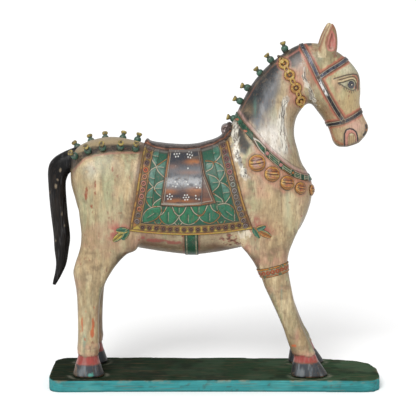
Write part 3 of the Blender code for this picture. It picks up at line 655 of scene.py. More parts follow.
def refineHead(bm):  # finer faces where paint and carving are finest
    middles = np.array([face.calc_center_median() for face in bm.faces])
    onFace = middles[:, 0] > 0.235
    pick = onFace | (middles[:, 1] < 0.004) | (middles[:, 2] > 0.84)
    bm.faces.ensure_lookup_table()
    edges = list({edge for i in np.nonzero(pick)[0] for edge in bm.faces[int(i)].edges})
    bmesh.ops.subdivide_edges(bm, edges=edges, cuts=1, use_grid_fill=True, smooth=0.6)


form = carveForm()
bareTree = BVHTree.FromObject(form, bpy.context.evaluated_depsgraph_get())
body, head = splitAtCollar(form)
print("horse form:", len(body.data.vertices), "and", len(head.data.vertices), "points")


# how far the plaster of a repaired split covers each point, and its hair cracks
def oldFiller(points, name, width):
    line = faceLines[name] if name in faceLines else layout[name]
    gap, along, way = lineDistance(flatOf(points), line)
    across = gap * way + (grain(points, 0.02, 4) - 0.5) * 0.008
    length = np.stack([along, along * 0, along * 0], axis=1)
    reach = width * (0.45 + 1.0 * grain(length, 0.017, 21))
    ends = np.minimum(along, along.max() - along)
    ragged = np.abs(across) + (mottle(points * [1, 1, 0.16], 0.005, 9) - 0.5) * width * 1.8
    cover = ramp(reach, reach * 0.55, ragged) * ramp(0.0, 0.006, ends + 0.003) * ramp(-0.002, -0.006,
        points[:, 1])
    if name == "jaw":
        cover *= ramp(0.44, 0.58, mottle(points, 0.016, 23))
    cracks = np.zeros(len(points))
    for k, offset in enumerate((-0.42, 0.02, 0.38)):
        wander = (grain(length, 0.009, 31 + k) - 0.5) * 0.0042
        broken = ramp(0.42, 0.54, grain(length, 0.013, 41 + k))
        cracks = np.maximum(cracks, ramp(0.0013, 0.0004, np.abs(across - offset * width - wander)) * broken)
    return cover, cracks * cover


def faceGaps(flat):  # distances to the carved lines of the eye and the mouth
    lines = ("browUpper", "browLower", "lidCream", "lidTop", "lidLow", "mouth", "tongue")
    return [gapTo(flat, faceLines[name]) for name in lines]


def faceAreas(flat):  # inside the brow, the mouth and the tongue
    inBrow = insideOf(flat, faceLines["browUpper"] + faceLines["browLower"][::-1])
    inMouth = insideOf(flat, faceLines["mouth"]) & (flat[:, 0] > 0.3) & (flat[:, 1] < 0.66)
    return inBrow, inMouth, insideOf(flat, faceLines["tongue"]) & inMouth


fillers = (("neckCrack", 0.0104), ("shoulderCrack", 0.0094), ("jaw", 0.0076))


def carveBody(form):
    mesh = form.data
    points, normals = pointsOf(mesh), normalsOf(mesh)
    flat = flatOf(points)
    side = np.abs(normals[:, 1])
    rise = np.zeros(len(points))
    face = (points[:, 0] > 0.25) * ramp(0.05, 0.35, side)
    # brow ridge, lids and the eye hollow
    upper, lower, cream, lidTop, lidLow, mouth, tongue = faceGaps(flat)
    inBrow, inMouth, inTongue = faceAreas(flat)
    rise += face * 0.001 * ramp(-0.001, 0.002, np.where(inBrow, np.minimum(upper, lower), -0.001))
    rise -= face * 0.0008 * (hump(upper, 0.0012) + hump(lower, 0.0011))
    rise -= face * 0.0014 * patch(points, 0.325, 0.75, 0.021, 0.011, 2.4)
    rise += face * 0.0016 * hump(cream, 0.002)
    rise -= face * 0.0008 * hump(lidTop, 0.001)
    rise += face * 0.0009 * hump(lidLow, 0.0015)
    # mouth, tongue, lips and nostrils
    rise -= face * 0.0019 * hump(mouth, 0.0014)
    rise += inMouth * 0.0007 * ramp(0.0, 0.002, mouth) * ramp(0.3, 0.6, side)
    rise -= inMouth * 0.0008 * hump(tongue, 0.001) * ramp(0.3, 0.6, side)
    for x in faceLines["veins"]:
        rise -= inTongue * 0.0006 * hump(points[:, 0] - x, 0.0008) * (points[:, 2] < 0.628)
    for name in ("nostrilUpper", "nostrilLower"):
        rise -= 0.002 * hump(gapTo(flat, faceLines[name]), 0.0022) * ramp(0.02, 0.3,
            side) * (points[:, 0] > 0.35)
    rise += 0.0012 * patch(points, 0.363, 0.65, 0.013, 0.007) * ramp(0.1, 0.5, side)
    # ears hollowed on their outer faces
    earSide = np.sign(points[:, 1]) * normals[:, 1]
    outerEar = (np.abs(points[:, 1]) > 0.031) & (points[:, 2] > 0.815)
    hollow = depthInside(flat, faceLines["earPink"])
    rise -= 0.0052 * ramp(-0.0015, 0.0055, hollow) * ramp(0.0, 0.45, earSide) * outerEar
    rise += 0.001 * hump(gapTo(flat, faceLines["earRim"]), 0.0024) * ramp(0.0, 0.4, earSide) * outerEar
    # splits in the neck, the shoulder and behind the jaw, filled with plaster
    for name, width in fillers:
        cover, cracks = oldFiller(points, name, width)
        rise += cover * (0.0004 + 0.0012 * (mottle(points * [1, 1, 0.3], 0.006, 17) - 0.4)) - cracks * 0.0016
    # leg sleeves stand a little proud of the coronets
    foot = points[:, 2] < 0.11
    rise -= 0.001 * ramp(0.087, 0.0845, points[:, 2]) * ramp(0.06, 0.07, points[:, 2]) * foot
    rise += 0.0007 * hump(points[:, 2] - 0.089, 0.003) * foot
    # knife marks and a slightly uneven hand-carved surface
    rise += horseShape["toolMarks"] * (mottle(points, 0.022, 1) - 0.5) * 3.2
    rise += horseShape["toolMarks"] * (mottle(points * [1, 1, 0.4], 0.006, 6) - 0.5) * 1.6
    rise += horseShape["toolMarks"] * (mottle(points * [1, 1, 0.5], 0.045, 8) - 0.5) * 5.0
    underCloth = depthInside(flat, clothEdge + [(0.03, 0.65), (-0.17, 0.65)])
    rise *= 1 - ramp(0.0, 0.01, underCloth)
    rise -= 0.0012 * ramp(0.006, 0.014, underCloth)
    points += normals * rise[:, None]
    floor = horseShape["plankTop"] + 0.0003
    low = points[:, 2] < floor + 0.0012
    points[low, 2] = floor
    movePoints(mesh, points)


carveBody(body)
carveBody(head)
headTree = BVHTree.FromObject(head, bpy.context.evaluated_depsgraph_get())

# colours of the carved horse
bodyColours = {
    "depth": (0.77, 0.755, 0.665),
    "base": (0.46, 0.35, 0.215),
    "cream": (0.62, 0.52, 0.36),
    "pale": (0.7, 0.63, 0.5),
    "tan": (0.33, 0.235, 0.135),
    "greenish": (0.33, 0.37, 0.24),
    "pinkish": (0.5, 0.27, 0.21),
    "rose": (0.5, 0.2, 0.18),
    "rust": (0.5, 0.105, 0.028),
    "oldRust": (0.27, 0.065, 0.028),
    "brown": (0.13, 0.075, 0.045),
    "slate": (0.014, 0.018, 0.024),
    "lavender": (0.113, 0.13, 0.175),
    "black": (0.022, 0.02, 0.02),
    "filler": (0.8, 0.78, 0.76),
    "chalk": (0.79, 0.75, 0.76),
    "coronet": (0.32, 0.048, 0.042),
    "hoof": (0.037, 0.046, 0.063),
    "teal": (0.08, 0.33, 0.31),
    "gold": (0.48, 0.31, 0.08),
    "lash": (0.055, 0.045, 0.038),
    "innerEar": (0.27, 0.085, 0.045),
    # rust-red chips seen from the near side: x, z, width, height
    "chips": [(-0.313, 0.483, 0.0036, 0.013), (-0.31, 0.5, 0.0022, 0.008), (-0.29, 0.512, 0.0024, 0.01),
        (-0.248, 0.55, 0.0018, 0.008), (-0.299, 0.458, 0.0034, 0.006), (-0.29, 0.493, 0.002, 0.005),
        (-0.299, 0.164, 0.0034, 0.02), (-0.3015, 0.144, 0.006, 0.015), (-0.326, 0.164, 0.0022, 0.023),
        (-0.3205, 0.13, 0.002, 0.004), (-0.33, 0.148, 0.0016, 0.004), (-0.296, 0.208, 0.0016, 0.003),
        (-0.317, 0.198, 0.002, 0.002), (0.196, 0.111, 0.008, 0.004), (0.06, 0.358, 0.006, 0.005),
        (0.04, 0.362, 0.004, 0.003), (-0.185, 0.373, 0.004, 0.0022), (-0.078, 0.384, 0.004, 0.0018),
        (0.214, 0.431, 0.003, 0.0016), (0.208, 0.46, 0.0014, 0.0022), (0.182, 0.42, 0.0028, 0.0016)],
    "tasselStains": [(-0.23, 0.402, 0.026, 0.013), (-0.246, 0.388, 0.012, 0.016),
        (0.118, 0.398, 0.026, 0.018), (0.104, 0.422, 0.008, 0.014)],
    "bellyDrips": [(-0.145, 0.372, 0.034, 0.006), (-0.175, 0.378, 0.006, 0.005), (-0.1, 0.366, 0.02, 0.005)],
    # x, z, width, height, strength
    "tealMarks": [(-0.32, 0.12, 0.006, 0.026, 0.6), (0.164, 0.25, 0.0022, 0.03, 0.5),
        (0.14, 0.235, 0.004, 0.01, 0.35), (0.098, 0.695, 0.004, 0.02, 0.4),
        (0.178, 0.47, 0.005, 0.045, 0.25)],
    # soft spots of glaze: x, z, width, height, colour, strength
    "glazes": [
        (-0.235, 0.4, 0.03, 0.025, "pinkish", 0.45), (-0.336, 0.5, 0.012, 0.07, "tan", 0.6),
        (-0.3, 0.475, 0.03, 0.035, "tan", 0.35), (-0.255, 0.51, 0.016, 0.05, "greenish", 0.5),
        (-0.24, 0.45, 0.008, 0.035, "pinkish", 0.5), (-0.26, 0.425, 0.02, 0.04, "cream", 0.45),
        (-0.225, 0.5, 0.008, 0.06, "cream", 0.35), (-0.25, 0.405, 0.03, 0.016, "rose", 0.45),
        (0.075, 0.5, 0.012, 0.05, "pinkish", 0.45), (0.1, 0.42, 0.03, 0.03, "pinkish", 0.45),
        (0.13, 0.395, 0.05, 0.03, "tan", 0.6),
        (0.215, 0.46, 0.02, 0.04, "pinkish", 0.2), (0.05, 0.352, 0.05, 0.018, "rose", 0.7),
        (-0.15, 0.365, 0.05, 0.014, "rose", 0.5),
        # the brown spots along the belly's lower edge are painted shade, and the cream spots above them
        # painted light on the upper belly
        (-0.19, 0.352, 0.03, 0.012, "brown", 0.5), (0.02, 0.35, 0.04, 0.01, "brown", 0.45),
        (-0.105, 0.374, 0.045, 0.012, "cream", 0.95), (-0.01, 0.374, 0.045, 0.012, "cream", 0.8),
        (-0.16, 0.378, 0.03, 0.01, "pinkish", 0.6),
        (0.203, 0.135, 0.006, 0.02, "rose", 0.55), (0.215, 0.106, 0.012, 0.006, "brown", 0.65),
        (-0.305, 0.355, 0.03, 0.03, "brown", 0.34), (0.232, 0.47, 0.01, 0.06, "tan", 0.6),
        (-0.345, 0.44, 0.01, 0.08, "brown", 0.3), (0.15, 0.34, 0.03, 0.014, "pinkish", 0.6),
        (0.13, 0.5, 0.05, 0.02, "pinkish", 0.3), (0.15, 0.45, 0.03, 0.04, "tan", 0.5),
        (0.11, 0.455, 0.03, 0.03, "tan", 0.45),
        (0.185, 0.43, 0.01, 0.05, "greenish", 0.5), (-0.245, 0.36, 0.05, 0.02, "tan", 0.45),
        (-0.335, 0.36, 0.02, 0.03, "tan", 0.45),
        (-0.31, 0.215, 0.02, 0.05, "greenish", 0.25), (-0.332, 0.26, 0.012, 0.04, "brown", 0.25),
        (0.155, 0.235, 0.012, 0.05, "tan", 0.3),
        (0.19, 0.17, 0.014, 0.04, "greenish", 0.35), (0.21, 0.115, 0.02, 0.015, "tan", 0.55),
        (0.235, 0.115, 0.008, 0.014, "brown", 0.4),
        (-0.3, 0.545, 0.018, 0.018, "filler", 0.45), (-0.25, 0.55, 0.05, 0.025, "tan", 0.3),
        (-0.3, 0.365, 0.045, 0.05, "tan", 0.75), (-0.325, 0.46, 0.014, 0.07, "greenish", 0.55),
        (-0.275, 0.43, 0.012, 0.05, "greenish", 0.4), (-0.3, 0.545, 0.02, 0.02, "greenish", 0.3),
        (-0.31, 0.4, 0.02, 0.03, "tan", 0.4),
        (0.19, 0.47, 0.04, 0.05, "cream", 0.45), (0.225, 0.45, 0.012, 0.05, "tan", 0.45),
        (0.118, 0.655, 0.018, 0.026, "lavender", 0.45), (0.135, 0.585, 0.02, 0.02, "pinkish", 0.4),
        (0.115, 0.388, 0.024, 0.02, "brown", 0.35),
        (0.185, 0.6, 0.01, 0.045, "greenish", 0.65), (0.196, 0.65, 0.008, 0.04, "tan", 0.75),
        (0.186, 0.69, 0.01, 0.03, "tan", 0.55), (0.145, 0.735, 0.014, 0.035, "tan", 0.55),
        (0.16, 0.795, 0.01, 0.02, "tan", 0.65),
        (0.205, 0.765, 0.022, 0.035, "rose", 0.6), (0.19, 0.725, 0.014, 0.03, "rose", 0.6),
        (0.218, 0.8, 0.012, 0.03, "pinkish", 0.65),
        (0.235, 0.76, 0.014, 0.03, "pinkish", 0.65), (0.255, 0.715, 0.02, 0.03, "tan", 0.7),
        (0.275, 0.68, 0.016, 0.02, "tan", 0.6),
        (0.245, 0.735, 0.01, 0.02, "pale", 0.35)],
}


def bodyInk(points, normals):  # colour of the painted wood at each point
    c = bodyColours
    flat = flatOf(points)
    x, y, z = points.T
    near = ramp(0.002, -0.002, y)
    streaky = points * [1, 1, 0.3]
    n1, n2, n3 = mottle(points, 0.085, 1), mottle(streaky, 0.014, 2), mottle(points, 0.05, 3)
    n4, n5 = mottle(streaky, 0.035, 4), mottle(points, 0.009, 5)
    n6, n7 = mottle(points * [1, 1, 0.2], 0.005, 14), mottle(points * [0.6, 1, 1], 0.016, 15)
    rgb = coat(c["base"], points)
    wash(rgb, c["tan"], ramp(0.46, 0.66, n1) * 0.6)
    wash(rgb, c["cream"], ramp(0.48, 0.66, n2) * 0.6)
    wash(rgb, (0.24, 0.165, 0.095), ramp(0.52, 0.7, n4) * 0.45)
    wash(rgb, c["greenish"], ramp(0.52, 0.66, mottle(points * [1, 1, 0.18], 0.026, 16)) * 0.62)
    wash(rgb, c["pinkish"], ramp(0.54, 0.68, n3) * 0.55)
    wash(rgb, c["tan"], ramp(0.52, 0.72, n6) * 0.45)
    wash(rgb, c["cream"], ramp(0.46, 0.28, n6) * 0.35)
    wash(rgb, c["brown"], ramp(0.58, 0.72, n7) * 0.42)
    rgb *= (0.78 + 0.42 * ramp(0.3, 0.7, mottle(streaky, 0.012, 41))
        + 0.16 * (ramp(0.3, 0.7, mottle(points, 0.0042, 42)) - 0.5))[:, None]
    for px, pz, w, h, ink, amount in c["glazes"]:
        wash(rgb, c[ink], patch(points, px, pz, w, h) * amount * ramp(0.26, 0.6, n2 * 0.5 + n5 * 0.5))
    chalky = patch(points, 0.148, 0.612, 0.032, 0.058) + patch(points, 0.12, 0.618, 0.024, 0.032) * 0.85
    wash(rgb, c["chalk"], np.clip(chalky, 0, 1) * (0.62 + 0.36 * ramp(0.25, 0.5, n2)))
    wash(rgb, c["lavender"], patch(points, 0.122, 0.662, 0.022, 0.022) * 0.3)
    # undersides, the belly's lower edge and faces turned away from the flanks get painted shade; the insides
    # of the legs are darker too
    under = ramp(-0.15, -0.85, normals[:, 2])
    wash(rgb, (0.085, 0.055, 0.03), under * 0.75 * ramp(0.2, 0.6, n5 + 0.2))
    wash(rgb, (0.07, 0.048, 0.026), ramp(0.348, 0.326, z) * (x > -0.24) * (x < 0.11) * 0.75)
    inner = ramp(0.2, 0.9, -np.sign(y) * normals[:, 1]) * (z < 0.36)
    wash(rgb, c["brown"], inner * 0.25)
    turned = ramp(0.8, 0.2, np.abs(normals[:, 1])) * (z > 0.1)
    wash(rgb, (0.21, 0.155, 0.085), turned * 0.48)
    # croup: tan crown, dark band, red line, pale hip
    crown = (z > 0.585) & (x < -0.17)
    wash(rgb, (0.35, 0.27, 0.165), crown * 0.8)
    band = depthInside(flat, layout["croupBand"])
    wash(rgb, (0.022, 0.016, 0.014), ramp(-0.0035, 0.0025, band + (n5 - 0.5) * 0.006)
        * (0.97 - 0.3 * ramp(0.5, 0.72, n5)) * (x < -0.165))
    line = gapTo(flat, layout["croupLine"])
    wash(rgb, (0.36, 0.13, 0.12), hump(line, 0.002) * 0.7 * (x < -0.165))
    tailRoot = np.exp(-(((x + 0.352) / 0.016) ** 2 + ((z - 0.565) / 0.03) ** 2))
    wash(rgb, (0.05, 0.042, 0.038), tailRoot * ramp(0.2, 0.5, n2 + 0.2) * 0.92)
    # mane: smoky dark along the crest, fading down the neck
    crest = gapTo(flat, layout["crest"])
    slanted = (points - [0.1, 0, 0.7]) @ np.array([[0.8, 0, 0.6], [0, 1, 0], [-0.3, 0, 0.4]])
    wisps = mottle(slanted, 0.012, 8)
    onNeck = (x > 0.04) & (x < 0.236) & (z > 0.62)
    grey = ramp(-0.01, 0.02, depthInside(flat, layout["greyPatch"]) + (n2 - 0.5) * 0.03) * onNeck
    wash(rgb, c["lavender"], grey * 0.92)
    wash(rgb, c["chalk"], grey * ramp(0.54, 0.74, wisps) * 0.15)
    mane = ramp(-0.009, 0.01, depthInside(flat, layout["manePatch"]) + (n2 - 0.5) * 0.022) * onNeck
    wash(rgb, c["slate"], mane * (0.99 - 0.1 * ramp(0.52, 0.72, wisps)))
    wash(rgb, (0.16, 0.12, 0.075), mane * patch(points, 0.085, 0.69, 0.014, 0.016) * 0.7)
    poll = ramp(-0.006, 0.007, depthInside(flat, layout["pollPatch"]) + (n2 - 0.5) * 0.02)
    wash(rgb, c["slate"], poll * 0.96)
    wash(rgb, (0.44, 0.36, 0.35), patch(points, 0.205, 0.795, 0.014, 0.018) * 0.6)
    wash(rgb, (0.2, 0.08, 0.055), hump(crest - 0.0066, 0.0017) * onNeck * (np.abs(y) > 0.004) * 0.6
        * ramp(0.3, 0.5, n2))
    wash(rgb, c["rose"], hump(crest - 0.009, 0.0018) * onNeck * (z > 0.8) * (np.abs(y) > 0.004) * 0.6)
    wash(rgb, c["black"], ramp(0.0058, 0.0036, crest) * onNeck * 0.92)
    # shoulder smudge, and plaster in the splits on the near side
    smudge = ramp(-0.007, 0.003, depthInside(flat, layout["shoulderPatch"]) + (n2 - 0.5) * 0.012)
    wash(rgb, c["slate"], smudge * 0.92)
    for name, width in fillers:
        cover, cracks = oldFiller(points, name, width)
        strength = 0.92 if name != "jaw" else 0.72
        wash(rgb, c["filler"], cover * strength)
        wash(rgb, (0.17, 0.16, 0.165), cover * ramp(0.47, 0.58, mottle(points * [1, 1, 0.12], 0.0044, 18))
            * (0.6 if name == "neckCrack" else 0.85))
        wash(rgb, (0.13, 0.11, 0.11), cracks * (0.7 if name == "shoulderCrack" else 0.48))
    # pink band over the collar, warm band below it and dark lines beside both
    above = sideGap(flat, layout["collar"])
    onCollar = (x > 0.045) & (x < 0.27)
    pinkBand = ramp(0.0165, 0.013, above + (n5 - 0.5) * 0.003) * (above > 0.006) * onCollar
    wash(rgb, (0.44, 0.26, 0.26), pinkBand * (0.88 - 0.45 * ramp(0.45, 0.65, n2)))
    wash(rgb, (0.14, 0.09, 0.085), hump(above - 0.0168, 0.0013) * onCollar * 0.6)
    wash(rgb, (0.48, 0.2, 0.12), ramp(-0.02, -0.011, above) * (above < 0) * onCollar * (x > 0.095) * 0.7)
    wash(rgb, c["brown"], hump(np.abs(above) - 0.0085, 0.0014) * onCollar * 0.85)
    wash(rgb, c["rose"], hump(above + 0.048, 0.006) * (x > 0.085) * (x < 0.17) * 0.45 * ramp(0.3, 0.6, n2)
        * (z > 0.47))
    # painted shade on the body: the dark ring just outside each bell, and the reddish halo and dark disc
    # round and under each chain ring
    for bx, bz, r in layout["bells"]:
        d = np.hypot(x - bx, z - bz)
        wash(rgb, c["brown"], ramp(r + 0.003, r + 0.0006, d) * 0.85 * (np.abs(y) > 0.02))
        wash(rgb, (0.45, 0.18, 0.12), hump(d - r - 0.0045, 0.003) * 0.45)
    for cx, cz in layout["chain"]:
        d = np.hypot(x - cx, z - cz)
        wash(rgb, (0.46, 0.15, 0.1), ramp(0.02, 0.015, d) * 0.55)
        wash(rgb, (0.09, 0.045, 0.03), ramp(0.0158, 0.0138, d) * 0.85)
    # face: rosy edges along the bridle, pale brow and cheek
    upper, lower, cream, lidTop, lidLow, mouth, tongue = faceGaps(flat)
    inBrow, inMouth, inTongue = faceAreas(flat)
    bridle = np.min([gapTo(flat, layout[k]) for k in ("crown", "cheek", "brow", "nose")], axis=0)
    onHead = x > 0.205
    wash(rgb, (0.5, 0.375, 0.2), patch(points, 0.335, 0.705, 0.04, 0.045) * 0.8)
    wash(rgb, (0.3, 0.155, 0.085), patch(points, 0.283, 0.69, 0.014, 0.04) * ramp(0.35, 0.6, n2) * 0.7
        * onHead)
    wash(rgb, (0.22, 0.13, 0.085), patch(points, 0.24, 0.775, 0.014, 0.04) * ramp(0.4, 0.6, n2) * 0.6
        * onHead)
    wash(rgb, (0.6, 0.57, 0.46), patch(points, 0.322, 0.788, 0.022, 0.014) * 0.85)
    wash(rgb, (0.27, 0.33, 0.28), patch(points, 0.345, 0.795, 0.012, 0.016) * 0.6)
    wash(rgb, (0.27, 0.25, 0.15), patch(points, 0.262, 0.815, 0.02, 0.022) * 0.7)
    wash(rgb, (0.24, 0.3, 0.22), patch(points, 0.256, 0.822, 0.006, 0.01) * 0.5)
    wash(rgb, (0.46, 0.12, 0.08), ramp(0.0138, 0.0098, bridle + (n5 - 0.5) * 0.005) * onHead * 0.8)
    wash(rgb, (0.13, 0.05, 0.035), hump(bridle - 0.007, 0.0013) * onHead * 0.92)
    # muzzle
    wash(rgb, (0.62, 0.38, 0.34), patch(points, 0.345, 0.65, 0.024, 0.018) * 0.85)
    wash(rgb, (0.45, 0.34, 0.2), patch(points, 0.305, 0.63, 0.016, 0.02) * 0.7)
    lip = gapTo(flat, faceLines["lipEdge"])
    wash(rgb, (0.4, 0.1, 0.055), hump(lip, 0.0032) * onHead * 0.65)
    onFace = ramp(0.15, 0.4, np.abs(normals[:, 1]))
    wash(rgb, (0.5, 0.21, 0.18), inMouth * 0.92)
    wash(rgb, (0.46, 0.36, 0.2), inTongue * 0.92)
    for vein in faceLines["veins"]:
        wash(rgb, (0.24, 0.09, 0.08), inTongue * hump(x - vein, 0.0008) * (z < 0.628) * 0.8)
    wash(rgb, c["pale"], inTongue * patch(points, 0.3335, 0.629, 0.004, 0.0022) * 0.8)
    wash(rgb, (0.16, 0.07, 0.06), inMouth * hump(tongue, 0.001) * 0.75)
    wash(rgb, (0.035, 0.035, 0.05), ramp(0.0024, 0.0013, mouth) * onHead * onFace)
    wash(rgb, c["brown"], patch(points, 0.3266, 0.5985, 0.0035, 0.004) * 0.9)
    for name in ("nostrilUpper", "nostrilLower"):
        wash(rgb, c["black"], ramp(0.0042, 0.0024, gapTo(flat, faceLines[name])) * (x > 0.35) * 0.97)
    wash(rgb, (0.45, 0.18, 0.06), patch(points, 0.3728, 0.6383, 0.003, 0.0026) * 0.9)
    # eye: lids, brow, white and lashes
    wash(rgb, (0.46, 0.35, 0.21), inBrow * 0.5)
    wash(rgb, (0.42, 0.14, 0.09), ((inBrow & (x > 0.334)) | (patch(points, 0.349, 0.753, 0.004, 0.02) > 0.4))
        * 0.8)
    wash(rgb, (0.055, 0.045, 0.04), ramp(0.0021, 0.0009, upper) * onHead * 0.9)
    wash(rgb, (0.1, 0.065, 0.045), ramp(0.0017, 0.0007, lower) * onHead * 0.85)
    inEye = insideOf(flat, faceLines["lidTop"] + faceLines["lidLow"][::-1]) & (x > 0.29)
    wash(rgb, (0.36, 0.36, 0.27), inEye * 0.9)
    wash(rgb, c["pale"], inEye * patch(points, 0.313, 0.754, 0.004, 0.004) * 0.5)
    wash(rgb, (0.5, 0.2, 0.17), inEye * patch(points, 0.3403, 0.7442, 0.0025, 0.004) * 0.95)
    wash(rgb, (0.045, 0.04, 0.04), patch(points, 0.3432, 0.7442, 0.0018, 0.0055) * 1.2 * onHead)
    wash(rgb, (0.62, 0.5, 0.3), ramp(0.0021, 0.001, cream) * onHead * 0.9)
    wash(rgb, (0.03, 0.025, 0.022), ramp(0.0017, 0.0007, lidTop) * onHead)
    wash(rgb, c["lash"], ramp(0.0016, 0.0007, lidLow) * onHead * 0.9)
    wash(rgb, (0.045, 0.04, 0.035), hump(np.hypot(x - 0.3022, z - 0.7545) - 0.0022, 0.0009) * onHead * 0.8)
    for lash in faceLines["lashes"]:
        wash(rgb, c["lash"], ramp(0.0012, 0.0005, gapTo(flat, lash)) * onHead * 0.85)
    # ears
    onEar = (z > 0.817) & (np.abs(y) > 0.026) & (x > 0.25)
    outward = ramp(-0.1, 0.35, np.sign(y) * normals[:, 1])
    pink = depthInside(flat, faceLines["earPink"])
    rim = lineDistance(flat, faceLines["earRim"])
    frontPart = (rim[2] < 0) * 1.0
    wash(rgb, (0.27, 0.22, 0.13), onEar * (1 - frontPart) * 0.8)
    wash(rgb, c["pale"], onEar * patch(points, 0.2692, 0.883, 0.0022, 0.006) * 0.8 * outward)
    wash(rgb, (0.56, 0.46, 0.31), onEar * frontPart * outward * 0.85)
    wash(rgb, (0.48, 0.145, 0.135), onEar * ramp(-0.0034, -0.0014, pink) * outward * 0.95)
    wash(rgb, (0.58, 0.3, 0.27), onEar * ramp(-0.002, 0.001, pink) * outward
        * ramp(0.45, 0.62, mottle(points * [1, 1, 0.15], 0.0035, 19)) * 0.8)
    wash(rgb, (0.56, 0.4, 0.33), onEar * (pink > 0) * ramp(0.847, 0.836, z) * outward * 0.6)
    wash(rgb, c["innerEar"], onEar * ramp(0.0032, 0.0016, rim[0]) * outward * ramp(0.83, 0.855, z) * 0.95)
    wash(rgb, c["innerEar"], onEar * patch(points, 0.286, 0.888, 0.003, 0.012) * 0.8)
    wash(rgb, (0.27, 0.1, 0.06), onEar * ramp(0.45, 0.8, np.abs(normals[:, 0])) * 0.75)
    # dark outline where the cloth, the seat, the girth and the tassels meet the body
    clothRim = depthInside(flat, clothEdge + [(0.03, 0.66), (-0.172, 0.66)])
    wash(rgb, c["rose"], ramp(-0.01, -0.003, clothRim) * 0.14 * ramp(0.3, 0.6, n2))
    wash(rgb, c["brown"], ramp(-0.0026, -0.0006, clothRim) * 0.75)
    for px, pz, w, h in c["tasselStains"]:
        wash(rgb, (0.34, 0.075, 0.065), patch(points, px, pz, w, h) * ramp(0.32, 0.52, n5) * 0.85
            * (np.abs(y) > 0.03))
    beside = hump(gapTo(flat, layout["clothRight"]) - 0.0105, 0.0032) * (clothRim < 0)
    wash(rgb, (0.38, 0.095, 0.085), beside * ramp(0.475, 0.44, z) * (x > 0) * ramp(0.35, 0.5, n2) * 0.7)
    girth = np.abs(x + 0.057)
    wash(rgb, (0.2, 0.07, 0.05), hump(girth - 0.0195, 0.0018) * (z < 0.4) * 0.7)
    # legs: coronet, hoof, and marks on the lower legs
    for px, pz, w, h, amount in c["tealMarks"]:
        wash(rgb, (0.1, 0.3, 0.27), patch(points, px, pz, w, h) * ramp(0.3, 0.55, n2 * 0.6 + n5 * 0.4)
            * amount * near)
    foreBand = patch(points, 0.143, 0.322, 0.05, 0.012)
    wash(rgb, c["rose"], foreBand * 0.55 * ramp(0.3, 0.6, n2))
    top = np.where(x < 0, 0.0845, 0.085) + 0.0015 * np.sin(x * 180) + (n5 - 0.5) * 0.006
    coronetLow = np.where(x < 0, 0.0615, 0.0665)
    isFoot = z < 0.105
    wash(rgb, c["rose"], isFoot * ramp(top + 0.016, top + 0.002, z) * 0.35)
    wash(rgb, c["brown"], isFoot * ramp(top + 0.0014, top, z))
    wash(rgb, c["coronet"], isFoot * ramp(top, top - 0.0012, z))
    # pinkish vertical streaks on the coronet: painted highlight
    wash(rgb, (0.38, 0.19, 0.19), isFoot * ramp(top, top - 0.0012, z)
        * ramp(0.45, 0.62, mottle(points * [1, 1, 0.15], 0.01, 7)) * 0.5)
    wash(rgb, c["brown"], isFoot * hump(z - coronetLow - 0.0006, 0.0012) * 0.7)
    isHoof = isFoot * ramp(coronetLow + 0.0006, coronetLow - 0.0006, z)
    wash(rgb, c["hoof"], isHoof)
    # pale streaks on hoof faces toward the flanks are painted highlight; faces turned away are darkened as
    # painted shade
    wash(rgb, (0.21, 0.24, 0.29), isHoof * ramp(0.5, 0.66, mottle(points * [1, 1, 0.2], 0.01, 7))
        * ramp(0.6, 0.95, np.abs(normals[:, 1])) * 0.7)
    wash(rgb, (0.012, 0.013, 0.016), isHoof * ramp(0.85, 0.45, np.abs(normals[:, 1])) * 0.8)
    wash(rgb, (0.015, 0.015, 0.016), isHoof * ramp(0.5, 0.7, mottle(points * [1, 1, 0.2], 0.014, 27)) * 0.6)
    wash(rgb, c["teal"], isHoof * ramp(0.3, 0.55, patch(points, -0.306, 0.0375, 0.0078, 0.0048)) * near)
    wash(rgb, (0.3, 0.12, 0.04), isHoof * patch(points, -0.345, 0.055, 0.003, 0.01) * 0.5)
    wash(rgb, (0.36, 0.17, 0.08), isHoof * ramp(0.035, 0.0325, z) * ramp(0.4, 0.55, n5) * 0.7)
    # chips down to the red ground
    for chipX, chipZ, w, h in c["chips"]:
        spot = patch(points, chipX, chipZ, w, h) * near + (n5 - 0.5) * 0.5
        wash(rgb, c["rust"] if chipZ < 0.25 else c["oldRust"], ramp(0.42, 0.6, spot) * 0.9 * near)
    belly = near * patch(points, 0.046, 0.372, 0.034, 0.02) * ramp(0.088, 0.07, x)
    scrap = mottle(points, 0.006, 43)
    wash(rgb, c["cream"], ramp(0.15, 0.45, belly) * 0.75)
    wash(rgb, (0.3, 0.065, 0.055), ramp(0.25, 0.55, belly) * ramp(0.47, 0.55, scrap) * 0.85)
    wash(rgb, (0.1, 0.045, 0.035), ramp(0.25, 0.55, belly) * ramp(0.56, 0.62, scrap) * 0.85)
    corner = patch(points, 0.07, 0.386, 0.02, 0.017)
    wash(rgb, (0.7, 0.63, 0.54), near * ramp(0.05, 0.15, corner)
        * ramp(0.42, 0.56, corner * 0.75 + (scrap - 0.5) * 1.7) * 0.85)
    for px, pz, w, h in c["bellyDrips"]:
        wash(rgb, (0.3, 0.05, 0.05), near * ramp(0.4, 0.6, patch(points, px, pz, w, h) + (n5 - 0.5) * 0.9)
            * 0.75)
    flecks = mottle(points * [1, 1, 0.5], 0.0058, 12)
    wash(rgb, (0.24, 0.075, 0.045), ramp(0.75, 0.81, flecks) * 0.7 * (z > 0.1) * (z < 0.84))
    return rgb * np.array(c["depth"]), under


